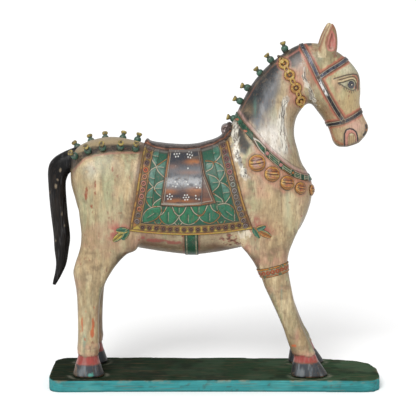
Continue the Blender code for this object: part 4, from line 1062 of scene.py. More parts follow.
def paintPiece(form, triangles):
    mesh = form.data
    points, normals = pointsOf(mesh), normalsOf(mesh)
    rgb, under = bodyInk(points, normals)
    # hollows keep dirt, high spots are rubbed; a little painted shade on the undersides joins the dirt value
    edges = edgesOf(mesh)
    degree = np.maximum(np.bincount(edges.ravel(), minlength=len(points)), 1)[:, None]
    smooth = points.copy()
    for turn in range(4):
        smooth = neighbourMean(smooth, edges, degree)
    hollow = np.einsum("ij,ij->i", smooth - points, normals)
    grimeAndShade = ramp(0.0001, 0.0009, hollow) * 0.75 + under * 0.1
    wash(rgb, np.array(bodyColours["pale"]) * 0.8,
        ramp(0.00015, 0.0011, -hollow) * 0.22 * (points[:, 2] > 0.1))
    storeColour(form, rgb)
    storeValue(form, "grimeAndShade", np.clip(grimeAndShade, 0, 1))
    count = sum(len(face.vertices) - 2 for face in mesh.polygons)
    if count > triangles:
        thin = form.modifiers.new("thin", "DECIMATE")
        thin.ratio = triangles / count
        baked(form)
    smoothShade(form)
    form.data.materials.clear()
    form.data.materials.append(finishes["agedCreamPaint"])
    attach(form, "root")
    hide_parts("horse")
    print(form.name, count, "triangles, thinned to",
        sum(len(face.vertices) - 2 for face in form.data.polygons))


paintPiece(body, horseShape["bodyTriangles"])
paintPiece(head, horseShape["headTriangles"])

# the saddle cloth, one panel on each flank
clothLook = {
    "across": 282,
    "up": 210,
    "rise": 0.0028,
    "border": 0.0066,
    "bandWidth": 0.0165,
    "rosetteRadius": 0.006,
    "lowRosette": (0.075, 0.034, 0.03),
    "lowRim": (0.24, 0.095, 0.055),
    "flapOutline": [(-0.1103, 0.599), (-0.1291, 0.4641), (-0.0842, 0.4616), (-0.0356, 0.4641),
        (0.0008, 0.4702), (-0.0247, 0.5363), (-0.0355, 0.599)],
    "flapSplit": [(-0.044, 0.599), (-0.0355, 0.57), (-0.029, 0.5363), (-0.03, 0.5095), (-0.032, 0.465)],
    "flowerReach": 0.0062,
    "dotRadius": 0.00205,
    "fadedDotRadius": 0.0012,
    "flapRise": 0.003,
    # flowers of the flap: x, z and number of petals; 0 is one dot, -1 a faded one
    "flowers": [(-0.0923, 0.5785, 6), (-0.0604, 0.5766, 6), (-0.0646, 0.5485, 0), (-0.0943, 0.5541, -1),
        (-0.0966, 0.5131, 4), (-0.0707, 0.5131, 2), (-0.0392, 0.5105, 3), (-0.109, 0.4837, 5),
        (-0.0691, 0.4825, 6), (-0.0405, 0.4837, 3)],
    # copper smears on the flap: z, x, width, height, strength
    "smears": [(0.562, -0.05, 0.022, 0.006, 1.1), (0.551, -0.103, 0.014, 0.006, 0.5),
        (0.54, -0.06, 0.03, 0.005, 0.6), (0.5, -0.045, 0.025, 0.007, 1.0), (0.497, -0.11, 0.02, 0.007, 0.9),
        (0.474, -0.085, 0.045, 0.006, 0.9), (0.489, -0.05, 0.025, 0.005, 0.5)],
    "green": (0.035, 0.175, 0.105),
    "deepGreen": (0.008, 0.06, 0.034),
    "paleGreen": (0.15, 0.29, 0.235),
    "line": (0.6, 0.52, 0.38),
    "orange": (0.48, 0.19, 0.05),
    "ochre": (0.44, 0.27, 0.065),
    "yellow": (0.62, 0.45, 0.08),
    "dark": (0.04, 0.032, 0.03),
    "slate": (0.042, 0.047, 0.06),
    "copper": (0.42, 0.15, 0.045),
    "white": (0.85, 0.85, 0.8),
    "rosetteInks": [(0.1, 0.035, 0.03), (0.08, 0.03, 0.03), (0.07, 0.03, 0.035), (0.52, 0.09, 0.025),
        (0.46, 0.17, 0.09), (0.44, 0.15, 0.1), (0.38, 0.12, 0.07), (0.38, 0.13, 0.09), (0.22, 0.09, 0.07),
        (0.4, 0.11, 0.04), (0.1, 0.08, 0.07), (0.16, 0.12, 0.12), (0.14, 0.11, 0.1), (0.18, 0.12, 0.1)],
    "rosetteInksRight": [(0.09, 0.03, 0.035), (0.11, 0.03, 0.03), (0.13, 0.03, 0.035), (0.2, 0.05, 0.05),
        (0.3, 0.11, 0.11), (0.26, 0.19, 0.15), (0.22, 0.24, 0.2), (0.2, 0.17, 0.16), (0.18, 0.15, 0.13),
        (0.09, 0.09, 0.085), (0.13, 0.12, 0.13), (0.12, 0.1, 0.09), (0.14, 0.1, 0.09), (0.16, 0.12, 0.11)],
}

# each scale of the leaf pattern: one edge to its tip, back along the other edge, its vein, and its layer
leafScales = [
    ([(-0.1333, 0.5941), (-0.144, 0.5905), (-0.1532, 0.583)], (-0.1559, 0.58),
    [(-0.152, 0.5686), (-0.1454, 0.5593), (-0.1421, 0.5539)],
    [(-0.1533, 0.5793), (-0.1453, 0.576), (-0.1201, 0.5747)], 1),
    ([(-0.1414, 0.5539), (-0.1535, 0.5472), (-0.1602, 0.5391)], (-0.1635, 0.5324),
    [(-0.1625, 0.5251), (-0.1566, 0.5153), (-0.1484, 0.5069)],
    [(-0.1629, 0.5322), (-0.1496, 0.5264), (-0.1323, 0.5284)], 1),
    ([(-0.1484, 0.5069), (-0.1604, 0.4988), (-0.167, 0.489)], (-0.1685, 0.484),
    [(-0.167, 0.4762), (-0.161, 0.4647), (-0.1527, 0.4569)],
    [(-0.1659, 0.4833), (-0.1539, 0.4829), (-0.1432, 0.4826)], 1),
    ([(-0.1148, 0.5713), (-0.1281, 0.5633), (-0.138, 0.557)], (-0.1421, 0.5532),
    [(-0.14, 0.548), (-0.1349, 0.5405), (-0.12, 0.527)], [(-0.1401, 0.5526), (-0.1242, 0.5512)], 2),
    ([(-0.12, 0.5235), (-0.1377, 0.5163), (-0.144, 0.509)], (-0.1467, 0.5039),
    [(-0.1444, 0.499), (-0.1391, 0.492), (-0.127, 0.482)], [(-0.1451, 0.5035), (-0.1297, 0.5035)], 2),
    ([(-0.129, 0.481), (-0.1432, 0.4718), (-0.1486, 0.4653)], (-0.1509, 0.461),
    [(-0.148, 0.4565), (-0.143, 0.453), (-0.13, 0.444)], [(-0.149, 0.461), (-0.137, 0.461)], 2),
    ([(-0.0059, 0.603), (0.006, 0.602), (0.0128, 0.5941)], (0.0151, 0.5858),
    [(0.0142, 0.5788), (0.0087, 0.5719), (0.0011, 0.5642)], [(-0.0141, 0.5837), (0.001, 0.5837)], 1),
    ([(-0.0003, 0.5649), (0.0121, 0.5607), (0.0212, 0.553)], (0.0248, 0.5468),
    [(0.0239, 0.5388), (0.0187, 0.5283), (0.0116, 0.5193)],
    [(-0.0003, 0.5426), (0.0121, 0.5447), (0.0232, 0.5461)], 1),
    ([(0.0149, 0.5175), (0.026, 0.5133), (0.035, 0.5045)], (0.0395, 0.4962),
    [(0.0385, 0.4885), (0.033, 0.4787), (0.0247, 0.468)],
    [(0.0122, 0.4909), (0.0261, 0.4944), (0.0385, 0.4958)], 1),
    ([(-0.022, 0.566), (-0.0127, 0.5662), (-0.006, 0.565)], (-0.0028, 0.5624),
    [(-0.0034, 0.5566), (-0.0072, 0.5496), (-0.02, 0.543)], [(-0.005, 0.561), (-0.018, 0.559)], 2),
    ([(-0.016, 0.5366), (-0.0003, 0.5315), (0.008, 0.525)], (0.0118, 0.519),
    [(0.0106, 0.513), (0.0066, 0.5059), (-0.006, 0.4949)], [(-0.0041, 0.5175), (0.01, 0.5189)], 2),
    ([(-0.004, 0.4925), (0.0122, 0.4817), (0.018, 0.476)], (0.0206, 0.4699),
    [(0.019, 0.464), (0.012, 0.456), (0.0, 0.452)], [(0.004, 0.473), (0.018, 0.471)], 2),
    ([(-0.1137, 0.464), (-0.1242, 0.4453), (-0.1346, 0.4356), (-0.1243, 0.4195)], (-0.1121, 0.4145),
    [(-0.1, 0.4185), (-0.087, 0.435), (-0.0964, 0.4453), (-0.1033, 0.464)],
    [(-0.112, 0.4462), (-0.1121, 0.4242)], 1),
    ([(-0.0677, 0.464), (-0.0756, 0.4462), (-0.0864, 0.4339), (-0.0774, 0.4199)], (-0.0635, 0.415),
    [(-0.0496, 0.4199), (-0.0374, 0.434), (-0.0513, 0.447), (-0.059, 0.464)],
    [(-0.0634, 0.44), (-0.0635, 0.4224)], 1),
    ([(-0.0183, 0.464), (-0.0287, 0.4418), (-0.0374, 0.4339), (-0.027, 0.423)], (-0.0122, 0.4182),
    [(0.0008, 0.4235), (0.013, 0.4391), (0.0008, 0.4488), (-0.0113, 0.464)],
    [(-0.0122, 0.4435), (-0.0122, 0.4259)], 1),
    ([(-0.1043, 0.464), (-0.0964, 0.4453)], (-0.086, 0.4368), [(-0.0756, 0.4462), (-0.0667, 0.464)],
    [(-0.0859, 0.4567), (-0.086, 0.4462)], 3),
    ([(-0.06, 0.464), (-0.05, 0.446)], (-0.0378, 0.438), [(-0.0265, 0.444), (-0.0173, 0.464)],
    [(-0.0382, 0.459), (-0.0382, 0.447)], 3),
    ([(-0.0113, 0.468), (-0.0061, 0.454)], (0.007, 0.4455), [(0.011, 0.454), (0.013, 0.468)],
    [(0.005, 0.462), (0.006, 0.453)], 3),
    ([(-0.0975, 0.42), (-0.093, 0.415)], (-0.0878, 0.4128), [(-0.083, 0.415), (-0.079, 0.42)],
    [(-0.0878, 0.419), (-0.0878, 0.415)], 0),
    ([(0.006, 0.424), (0.01, 0.418)], (0.0155, 0.415), [(0.021, 0.418), (0.025, 0.425)],
    [(0.015, 0.423), (0.0152, 0.418)], 0),
    ([(-0.146, 0.4225), (-0.142, 0.417)], (-0.1375, 0.4142), [(-0.133, 0.417), (-0.129, 0.4225)],
    [(-0.1375, 0.42), (-0.1375, 0.4165)], 0),
    ([(-0.1764, 0.4224), (-0.1745, 0.4383), (-0.164, 0.4523), (-0.1466, 0.4597)], (-0.1296, 0.4607),
    [(-0.1294, 0.4453), (-0.1398, 0.4312), (-0.1555, 0.4228), (-0.1712, 0.4203)],
    [(-0.1624, 0.4339), (-0.1467, 0.4444)], 4),
    ([(0.0077, 0.4646), (0.0233, 0.4678), (0.0372, 0.4636), (0.0473, 0.4523)], (0.0486, 0.4242),
    [(0.0425, 0.4238), (0.0234, 0.433), (0.0112, 0.447)], [(0.0277, 0.4488), (0.0416, 0.4383)], 4),
    ([(0.024, 0.542), (0.03, 0.54)], (0.0345, 0.533), [(0.033, 0.526), (0.029, 0.52)],
    [(0.027, 0.533), (0.032, 0.533)], 0),
]


def coonsSheet(left, right, bottom, top, across, up):  # side-view grid between four edges
    left, right = evenly(left, count=up), evenly(right, count=up)
    bottom, top = evenly(bottom, count=across), evenly(top, count=across)
    s = np.linspace(0, 1, across)[None, :, None]
    t = np.linspace(0, 1, up)[:, None, None]
    sheet = (1 - s) * left[:, None] + s * right[:, None] + (1 - t) * bottom[None] + t * top[None]
    corners = ((1 - s) * (1 - t) * left[0] + s * (1 - t) * right[0] + (1 - s) * t * left[-1]
        + s * t * right[-1])
    return sheet - corners


def fromFlank(x, z, side, tree=None):  # where a line straight in from the flank meets the form
    return (tree or bareTree).ray_cast(Vector((x, side * 0.5, z)), Vector((0, -side, 0)))[:2]


def castOn(flat, side):
    made = np.empty((len(flat), 3))
    for i, (x, z) in enumerate(flat):
        spot = fromFlank(x, z, side)[0]
        made[i] = spot if spot else (x, 0.0, z)
    return made


def gridNormals(grid, side):
    du = np.gradient(grid, axis=1)
    dv = np.gradient(grid, axis=0)
    normal = np.cross(du, dv)
    normal /= np.linalg.norm(normal, axis=2)[:, :, None] + 1e-12
    flip = np.sign(normal[:, :, 1]) * side
    return normal * np.where(flip >= 0, 1, -1)[:, :, None]


def settleGrid(grid, rounds):  # evens out the facets of the form below
    for turn in range(rounds):
        inner = (grid[:-2, 1:-1] + grid[2:, 1:-1] + grid[1:-1, :-2] + grid[1:-1, 2:]) / 4
        grid[1:-1, 1:-1] = grid[1:-1, 1:-1] * 0.3 + inner * 0.7
    return grid


def sheetFaces(rows, columns):
    index = np.arange(rows * columns).reshape(rows, columns)
    a, b, c, d = index[:-1, :-1], index[:-1, 1:], index[1:, 1:], index[1:, :-1]
    return np.stack([a, b, c, d], axis=-1).reshape(-1, 4)


# a relief sheet whose rim is let into the wood, closed underneath
def skirtedSheet(name, top, normals, sink):
    rows, columns = top.shape[:2]
    points = top.reshape(-1, 3)
    faces = [tuple(f) for f in sheetFaces(rows, columns)]
    index = np.arange(rows * columns).reshape(rows, columns)
    rim = np.concatenate([index[0, :], index[1:, -1], index[-1, -2::-1], index[-2:0:-1, 0]])
    low = points[rim] - normals.reshape(-1, 3)[rim] * sink
    start = len(points)
    count = len(rim)
    for i in range(count):
        j = (i + 1) % count
        faces.append((rim[j], rim[i], start + i, start + j))
    made = fromArrays(name, np.vstack([points, low]), faces)
    bm = bmesh.new()
    bm.from_mesh(made.data)
    bm.verts.ensure_lookup_table()
    under = bm.faces.new([bm.verts[start + i] for i in range(count)])
    bmesh.ops.triangulate(bm, faces=[under])
    bmesh.ops.recalc_face_normals(bm, faces=bm.faces)
    bm.to_mesh(made.data)
    bm.free()
    return made, rim


def leafOutline(scale):
    one, tip, two = scale[0], scale[1], scale[2]
    return [tuple(p) for p in smoothRows(list(one) + [tip], 5)] + [tuple(p)
        for p in smoothRows([tip] + list(two), 5)][1:]


def carveCloth(name, side):
    look = clothLook
    sheet = coonsSheet(layout["clothLeft"], layout["clothRight"], layout["clothBottom"], layout["clothTop"],
        look["across"], look["up"])
    rows, columns = sheet.shape[:2]
    flat = sheet.reshape(-1, 2)
    base = castOn(flat, side).reshape(rows, columns, 3)
    base = settleGrid(base, 14)
    normals = gridNormals(base, side)
    seed = 0 if side < 0 else 40
    spots = base.reshape(-1, 3)
    n1, n2 = mottle(spots, 0.02, 5 + seed), mottle(spots, 0.006, 6 + seed)
    n3 = mottle(spots, 0.045, 7 + seed)
    rise = np.full(len(flat), look["rise"])
    rgb = coat(look["green"], flat)
    edges = layout["clothLeft"], layout["clothBottom"], layout["clothRight"]
    gaps = [lineDistance(flat, line) for line in edges]
    inFrom = np.min([g[0] for g in gaps], axis=0)
    innerStart = look["border"] + look["bandWidth"]
    # leaf panel: overlapping scales, each one pillowed towards its middle
    wash(rgb, look["deepGreen"], np.full(len(flat), 0.55))
    lineWear = ramp(0.45, 0.62, n1)
    for scale in sorted(leafScales, key=lambda row: row[4]):
        outline = leafOutline(scale)
        box = np.array(outline)
        close = ((flat[:, 0] > box[:, 0].min() - 0.003) & (flat[:, 0] < box[:, 0].max() + 0.003)
            & (flat[:, 1] > box[:, 1].min() - 0.003) & (flat[:, 1] < box[:, 1].max() + 0.003))
        pick = np.nonzero(close)[0]
        spot = flat[pick]
        depth = depthInside(spot, outline)
        openEnd = gapTo(spot, [outline[0], outline[-1]]) if scale[4] < 4 else np.full(len(spot), 1.0)
        rim = np.abs(gapTo(spot, outline))
        inside = depth > 0
        height = look["rise"] + 0.0004 + 0.00022 * scale[4] + 0.0013 * ramp(0.0006, 0.006,
            rim) * ramp(-0.002, 0.012, openEnd + 0.004)
        rise[pick] = np.where(inside, height, rise[pick])
        vein, alongVein, veinSide = lineDistance(spot, scale[3])
        tint = rgb[pick]
        leafTone = coat(look["green"], spot)
        lower = ramp(0.505, 0.465, spot[:, 1])
        wash(leafTone, look["paleGreen"], ramp(0.36, 0.6, n3[pick]) * (0.8 - 0.65 * lower))
        wash(leafTone, (0.02, 0.2, 0.085), lower * ramp(0.3, 0.6, n2[pick] * 0.5 + n3[pick] * 0.5) * 0.8)
        wash(leafTone, look["deepGreen"], ramp(0.009, 0.0, vein) * 0.72 * (veinSide < 0))
        wash(leafTone, look["deepGreen"], ramp(0.48, 0.7, n2[pick]) * 0.36)
        hatch = np.sin((alongVein * 1.0 + vein * 0.9) * 2 * np.pi / 0.0022)
        leafTone *= (1 + 0.1 * hatch * ramp(0.001, 0.003, vein))[:, None]
        wash(leafTone, look["deepGreen"], ramp(0.0042, 0.0012, rim) * 0.65)
        tint = np.where(inside[:, None], leafTone, tint)
        wash(tint, look["line"], ramp(0.0008, 0.0003, vein) * inside * 0.85)
        outlineInk = np.where((lineWear[pick] > 0.55)[:, None], np.array(look["orange"]),
            np.array(look["line"]))
        strength = ramp(0.00135, 0.00055, rim)[:, None] * 0.95
        tint = np.where((depth > -0.0016)[:, None], tint * (1 - strength) + outlineInk * strength, tint)
        shadow = ((depth < 0) & (depth > -0.003)) * ramp(0.003, 0.001, rim) * 0.55 * (rim > 0.001)
        wash(tint, look["deepGreen"], shadow)
        rise[pick] += np.where(depth > -0.0016, 0.00055 * hump(rim, 0.0008), 0)
        rise[pick] -= np.where(inside, 0.00035 * hump(vein, 0.0007), 0)
        rgb[pick] = tint
    # border ridge, rosette band and inner ridge around three sides
    band = (inFrom < innerStart)
    rgb = np.where(band[:, None], np.array(look["ochre"]) * 0.75, rgb)
    dirty = ramp(0.4, 0.66, n1)
    wash(rgb, (0.14, 0.1, 0.065), band * dirty * 0.75)
    worn = mottle(spots, 0.0075, 25 + seed)
    wash(rgb, look["orange"], band * ramp(0.54, 0.62, worn) * 0.75)
    wash(rgb, (0.055, 0.04, 0.032), band * ramp(0.45, 0.36, worn) * 0.6)
    bottomBand = band & (gaps[1][0] <= gaps[0][0]) & (gaps[1][0] <= gaps[2][0])
    wash(rgb, look["yellow"], bottomBand * ramp(0.66, 0.44, n1) * 0.85)
    wash(rgb, (0.12, 0.085, 0.055), bottomBand * ramp(0.5, 0.6, mottle(spots, 0.01, 27 + seed)) * 0.5)
    rightBand = band & (gaps[2][0] < gaps[0][0]) & (gaps[2][0] < gaps[1][0])
    wash(rgb, (0.13, 0.14, 0.11), rightBand * ramp(0.61, 0.57, flat[:, 1]) * ramp(0.42, 0.5, flat[:, 1])
        * 0.85)
    rise = np.where(band, look["rise"] + 0.0002, rise)
    ridge = np.exp(-(((inFrom - look["border"] * 0.52) / (look["border"] * 0.3)) ** 4))
    rise += 0.0014 * ridge
    rightEdge = inFrom >= gaps[2][0] - 1e-6
    borderInk = np.where(((n1 > 0.52) | (rightEdge & (n1 > 0.4)))[:, None], np.array(look["orange"]),
        np.array(look["ochre"]))
    stripe = ramp(look["border"], look["border"] - 0.0012, inFrom)[:, None]
    rgb = rgb * (1 - stripe) + borderInk * stripe
    wash(rgb, (0.2, 0.065, 0.03), ramp(0.0018, 0.0004, inFrom) * 0.8)
    wash(rgb, (0.12, 0.06, 0.03), hump(inFrom - look["border"], 0.0008) * 0.8)
    bare = ramp(0.4, 0.56, mottle(spots, 0.014, 26 + seed))
    bare = np.maximum(bare * 0.55, bottomBand * 0.9)
    wash(rgb, (0.13, 0.075, 0.04), stripe[:, 0] * (1 - bare) * 0.75)
    wash(rgb, look["yellow"], hump(inFrom - look["border"] * 0.45, 0.0011) * bare)
    innerLine = np.abs(inFrom - innerStart)
    rise += 0.0012 * hump(innerLine, 0.0014)
    wash(rgb, (0.36, 0.2, 0.07), ramp(0.0019, 0.0008, innerLine) * 0.9)
    wash(rgb, look["dark"], hump(inFrom - innerStart - 0.0023, 0.0009) * 0.7)
    wash(rgb, (0.1, 0.11, 0.075), ((inFrom > innerStart + 0.002) & (inFrom < innerStart + 0.005)) * 0.35)
    # rosettes: a ring, a sunk dark ring and a small bead
    bandMiddle = look["border"] + look["bandWidth"] * 0.5
    rings = []
    for k, (line, count, way) in enumerate(((edges[0], 13, -1), (edges[1], 17, 1), (edges[2], 14, 1))):
        path = evenly(line, count=200)
        step = np.gradient(path, axis=0)
        step /= np.linalg.norm(step, axis=1)[:, None]
        inward = np.stack([-step[:, 1], step[:, 0]], axis=1) * way
        inset = path + inward * bandMiddle
        inset = evenly(inset[(13 if k != 1 else 10):(-6 if k != 1 else -10)], count=count)
        inks = look["rosetteInksRight"] if k == 2 else look["rosetteInks"]
        for i, (cx, cz) in enumerate(inset):
            ink = inks[(count - 1 - i) % len(inks)] if k != 1 else look["lowRosette"]
            rings.append((cx, cz, ink))
    for cx, cz, ink in rings:
        if min(np.hypot(cx - ox, cz - oz) for ox, oz, other in rings if (ox, oz) != (cx, cz)) < 0.004:
            continue
        r = np.hypot(flat[:, 0] - cx, flat[:, 1] - cz) / look["rosetteRadius"]
        pick = np.nonzero(r < 1.35)[0]
        q = r[pick]
        rise[pick] += 0.0013 * hump(q - 0.72, 0.24) - 0.0005 * hump(q, 0.35) + 0.0007 * hump(q, 0.16)
        tint = rgb[pick]
        light = np.clip(np.array(ink) * 1.6 + 0.06, 0,
            0.6) if ink != look["lowRosette"] else np.array(look["lowRim"])
        wash(tint, light, ramp(1.05, 0.93, q) * 0.9)
        wash(tint, ink, ramp(0.88, 0.74, q) * 0.9)
        wash(tint, look["dark"], hump(q - 0.4, 0.16) * 0.85)
        wash(tint, (0.45, 0.36, 0.28), ramp(0.24, 0.1, q) * 0.8)
        wash(tint, (0.045, 0.032, 0.024), hump(q - 1.13, 0.11) * 0.85)
        rgb[pick] = tint
    # the flap over the middle, smooth and dark, with a folded edge to the front
    depth = depthInside(flat, look["flapOutline"])
    flap = depth > 0
    flapRise = look["rise"] + look["flapRise"] + 0.0006 * ramp(0.0, 0.002, depth)
    split, _, splitSide = lineDistance(flat, look["flapSplit"])
    fold = flap & (splitSide > 0) & (flat[:, 1] < 0.545)
    rise = np.where(flap, flapRise - 0.0011 * fold, rise)
    rim = np.abs(depth)
    ink = coat(look["slate"], flat)
    smear = mottle(spots * [0.55, 1, 1.5], 0.018, 21 + seed)
    for z0, x0, w, h, amount in look["smears"]:
        wash(ink, look["copper"], patch(spots, x0, z0, w, h) * amount * ramp(0.28, 0.52, smear))
    # painted highlight: a pale band across the flap's middle and a greyer one above it
    sheen = hump(flat[:, 1] - 0.518, 0.013) * ramp(0.25, 0.55, smear * 0.5 + n2 * 0.5)
    wash(ink, (0.6, 0.61, 0.62), sheen * 0.8)
    wash(ink, (0.17, 0.18, 0.2), hump(flat[:, 1] - 0.545, 0.01) * 0.5)
    wash(ink, (0.24, 0.1, 0.06), fold * (0.55 + 0.4 * ramp(0.4, 0.6, smear)))
    wash(ink, (0.18, 0.15, 0.14), fold * patch(spots, -0.018, 0.515, 0.012, 0.02) * 0.8)
    rgb = np.where(flap[:, None], ink, rgb)
    for gap, half, lineInk, up in ((rim, 0.0016, (0.3, 0.16, 0.08), 0.0009),
            (np.abs(depth - 0.0052), 0.0011, (0.4, 0.34, 0.26), 0.0007),
            (split, 0.0014, (0.17, 0.14, 0.13), 0.001)):
        shown = (depth > -0.0012) if gap is rim else flap
        rise = rise + np.where(shown, up * hump(gap, half), 0)
        wash(rgb, lineInk, shown * ramp(half * 1.25, half * 0.5, gap) * 0.9)
    groove = flap & (depth > 0.002) & (depth < 0.0042)
    wash(rgb, (0.09, 0.05, 0.035), groove * 0.8)
    lowEdge = gapTo(flat, look["flapOutline"][1:5])
    wash(rgb, (0.7, 0.66, 0.58), hump(lowEdge - 0.003, 0.0009) * flap * ramp(-0.02, -0.05, flat[:, 0]) * 0.9)
    wash(rgb, look["orange"], hump(lowEdge - 0.0005, 0.001) * (depth > -0.001) * ramp(0.35, 0.6, n1) * 0.8)
    wash(rgb, look["orange"], (hump(depth - 0.0015, 0.0015)) * flap * (flat[:, 1] > 0.53)
        * (flat[:, 1] < 0.575) * (flat[:, 0] < -0.08) * 0.8)
    wash(rgb, look["dark"], ((depth < -0.001) & (depth > -0.004)) * 0.6)
    reach = look["flowerReach"]
    for fx, fz, petals in look["flowers"]:
        places = [(fx, fz)] if petals <= 0 else [(fx
            + reach * math.cos(2 * math.pi * i / max(petals, 5) + fx * 90),
            fz + reach * math.sin(2 * math.pi * i / max(petals, 5) + fx * 90)) for i in range(petals)]
        if petals >= 5:
            places.append((fx, fz))
        for px, pz in places:
            d = np.hypot(flat[:, 0] - px, flat[:, 1] - pz)
            size = look["dotRadius"] if petals >= 0 else look["fadedDotRadius"]
            wash(rgb, look["white"], ramp(size, size * 0.62, d) * (0.95 if petals >= 0 else 0.4))
            rise += 0.0004 * hump(d, size * 0.8)
    # under the seat the cloth darkens into grey
    top = sideGap(flat, layout["seatEdge"])
    wash(rgb, (0.2, 0.17, 0.155), ramp(-0.0052, -0.003, top) * 0.85)
    wash(rgb, (0.07, 0.055, 0.05), hump(top + 0.0055, 0.001) * 0.7)
    if side > 0:
        wash(rgb, look["dark"], ramp(0.5, 0.75, n1) * 0.25)
    rise += 0.00018 * (n2 - 0.5) * 2 + 0.0003 * (n3 - 0.5)
    rise *= ramp(-0.0006, 0.001, inFrom) * 0.35 + 0.65
    top3 = base + normals * rise.reshape(rows, columns)[:, :, None]
    made, rim = skirtedSheet(name, top3, normals, 0.0055)
    field = rise.reshape(rows, columns)
    soft = field.copy()
    for turn in range(5):
        soft[1:-1, 1:-1] = (soft[:-2, 1:-1] + soft[2:, 1:-1] + soft[1:-1, :-2] + soft[1:-1, 2:]) / 4
    hollow = ramp(0.00004, 0.00035, (soft - field).ravel())
    grimeAndShade = np.concatenate([hollow * 0.55, np.full(len(rim), 0.8)])
    allColours = np.vstack([rgb, coat([0.12, 0.07, 0.04], rim)])
    return dress(made, "clothPaint", allColours, grimeAndShade)


carveCloth("saddle_cloth_near", -1)
carveCloth("saddle_cloth_far", 1)
print("saddle cloth carved")

# the saddle: seat, raised rims and the rolled pommel
saddleLook = {
    "tailEnd": -0.1735,
    "headEnd": 0.0425,
    "stations": 170,
    "around": 76,
    "rise": 0.0082,
    "rimRise": 0.004,
    "dark": (0.032, 0.023, 0.021),
    "brown": (0.11, 0.072, 0.058),
    "orange": (0.46, 0.14, 0.05),
    "grey": (0.2, 0.165, 0.15),
    "purple": (0.12, 0.075, 0.075),
    "pommelPlace": (0.0292, 0.0, 0.6385),
    "pommelRadius": 0.0134,
    "pommelHalf": 0.022,
}


def carveSeat():
    look = saddleLook
    stations, around = look["stations"], look["around"]
    edge = evenly(layout["seatEdge"], count=600)
    xs = np.linspace(look["tailEnd"], look["headEnd"], stations)
    base = np.empty((around, stations, 3))
    for i, x in enumerate(xs):
        zEdge = np.interp(x, edge[:, 0], edge[:, 1])
        spot = bareTree.ray_cast(Vector((x, -0.5, zEdge)), Vector((0, 1, 0)))[0]
        yEdge = spot.y if spot else -0.06
        centre = Vector((x, 0, zEdge - 0.1))
        turnEdge = math.atan2(-yEdge, zEdge - centre.z)
        for j, share in enumerate(np.linspace(-1, 1, around)):
            turn = turnEdge * share
            way = Vector((0, math.sin(turn), math.cos(turn)))
            hit = bareTree.ray_cast(centre + way * 0.5, -way)[0]
            base[j, i] = hit if hit else centre + way * 0.1
    base = settleGrid(base, 10)
    du, dv = np.gradient(base, axis=1), np.gradient(base, axis=0)
    normals = np.cross(dv, du)
    normals /= np.linalg.norm(normals, axis=2)[:, :, None]
    normals *= np.where(normals[around // 2, stations // 2, 2] > 0, 1, -1)
    points = base.reshape(-1, 3)
    x = points[:, 0]
    share = np.repeat(np.linspace(-1, 1, around), stations)
    fromEdge = (1 - np.abs(share)) * np.tile(np.linalg.norm(base[0] - base[around // 2], axis=1), around)
    ends = np.minimum(x - look["tailEnd"], look["headEnd"] - x)
    rise = look["rise"] * ramp(-0.003, 0.0035, fromEdge) * ramp(-0.0035, 0.003, ends)
    rise += look["rimRise"] * hump(x + 0.168, 0.005) * ramp(0.0, 0.006, fromEdge)
    rise += 0.0025 * hump(x - 0.038, 0.005)
    rise += 0.001 * hump(fromEdge - 0.0105, 0.0018)
    rise -= 0.0007 * hump(fromEdge - 0.003, 0.0009)
    rise -= 0.0014 * ramp(0.014, 0.04, fromEdge) * ramp(0.0, 0.02, ends)
    n1, n2 = mottle(points * [0.4, 1, 1], 0.01, 31), mottle(points, 0.005, 32)
    rise += 0.0003 * (n1 - 0.5) * 2
    rgb = coat(look["dark"], points)
    wash(rgb, look["brown"], ramp(0.42, 0.7, n1) * 0.8)
    wash(rgb, look["purple"], ramp(0.45, 0.7, n2) * 0.5)
    # a lighter line along the raised ridge: painted highlight
    wash(rgb, (0.3, 0.2, 0.17), hump(fromEdge - 0.0105, 0.0014) * 0.55 * ramp(0.4, 0.6, n2))
    wash(rgb, look["orange"], hump(fromEdge - 0.0024, 0.0011) * (0.35 + 0.6 * ramp(0.35, 0.55, n1)))
    wash(rgb, look["orange"], ramp(-0.15, -0.163, x) * ramp(0.4, 0.55, n2) * 0.7
        * ramp(0.014, 0.004, np.abs(fromEdge - 0.01)))
    wash(rgb, look["grey"], ramp(0.0012, 0.0, fromEdge) * 0.8)
    wash(rgb, look["brown"], ramp(0.02, 0.05, fromEdge) * 0.5)
    top = base + normals * rise.reshape(around, stations)[:, :, None]
    made, rim = skirtedSheet("saddle_seat", top, normals, 0.008)
    grimeAndShade = np.concatenate([ramp(0.006, 0.002, fromEdge) * 0.25, np.full(len(rim), 0.6)])
    return dress(made, "saddlePaint", np.vstack([rgb, coat(look["grey"], rim)]), grimeAndShade)


def lathe(bm, profile, place, segments):  # (radius, height) rows about the place's Z
    rows = []
    for radius, height in profile:
        count = segments if radius > 1e-7 else 1
        rows.append([bm.verts.new(place @ Vector((radius * math.cos(2 * math.pi * i / segments),
            radius * math.sin(2 * math.pi * i / segments), height))) for i in range(count)])
    for lower, upper in zip(rows, rows[1:]):
        for i in range(segments):
            j = (i + 1) % segments
            ring = [lower[i % len(lower)], lower[j % len(lower)], upper[j % len(upper)],
                upper[i % len(upper)]]
            bm.faces.new(list(dict.fromkeys(ring)))
    for end in (rows[0], rows[-1]):
        if len(end) > 1:
            bm.faces.new(end)


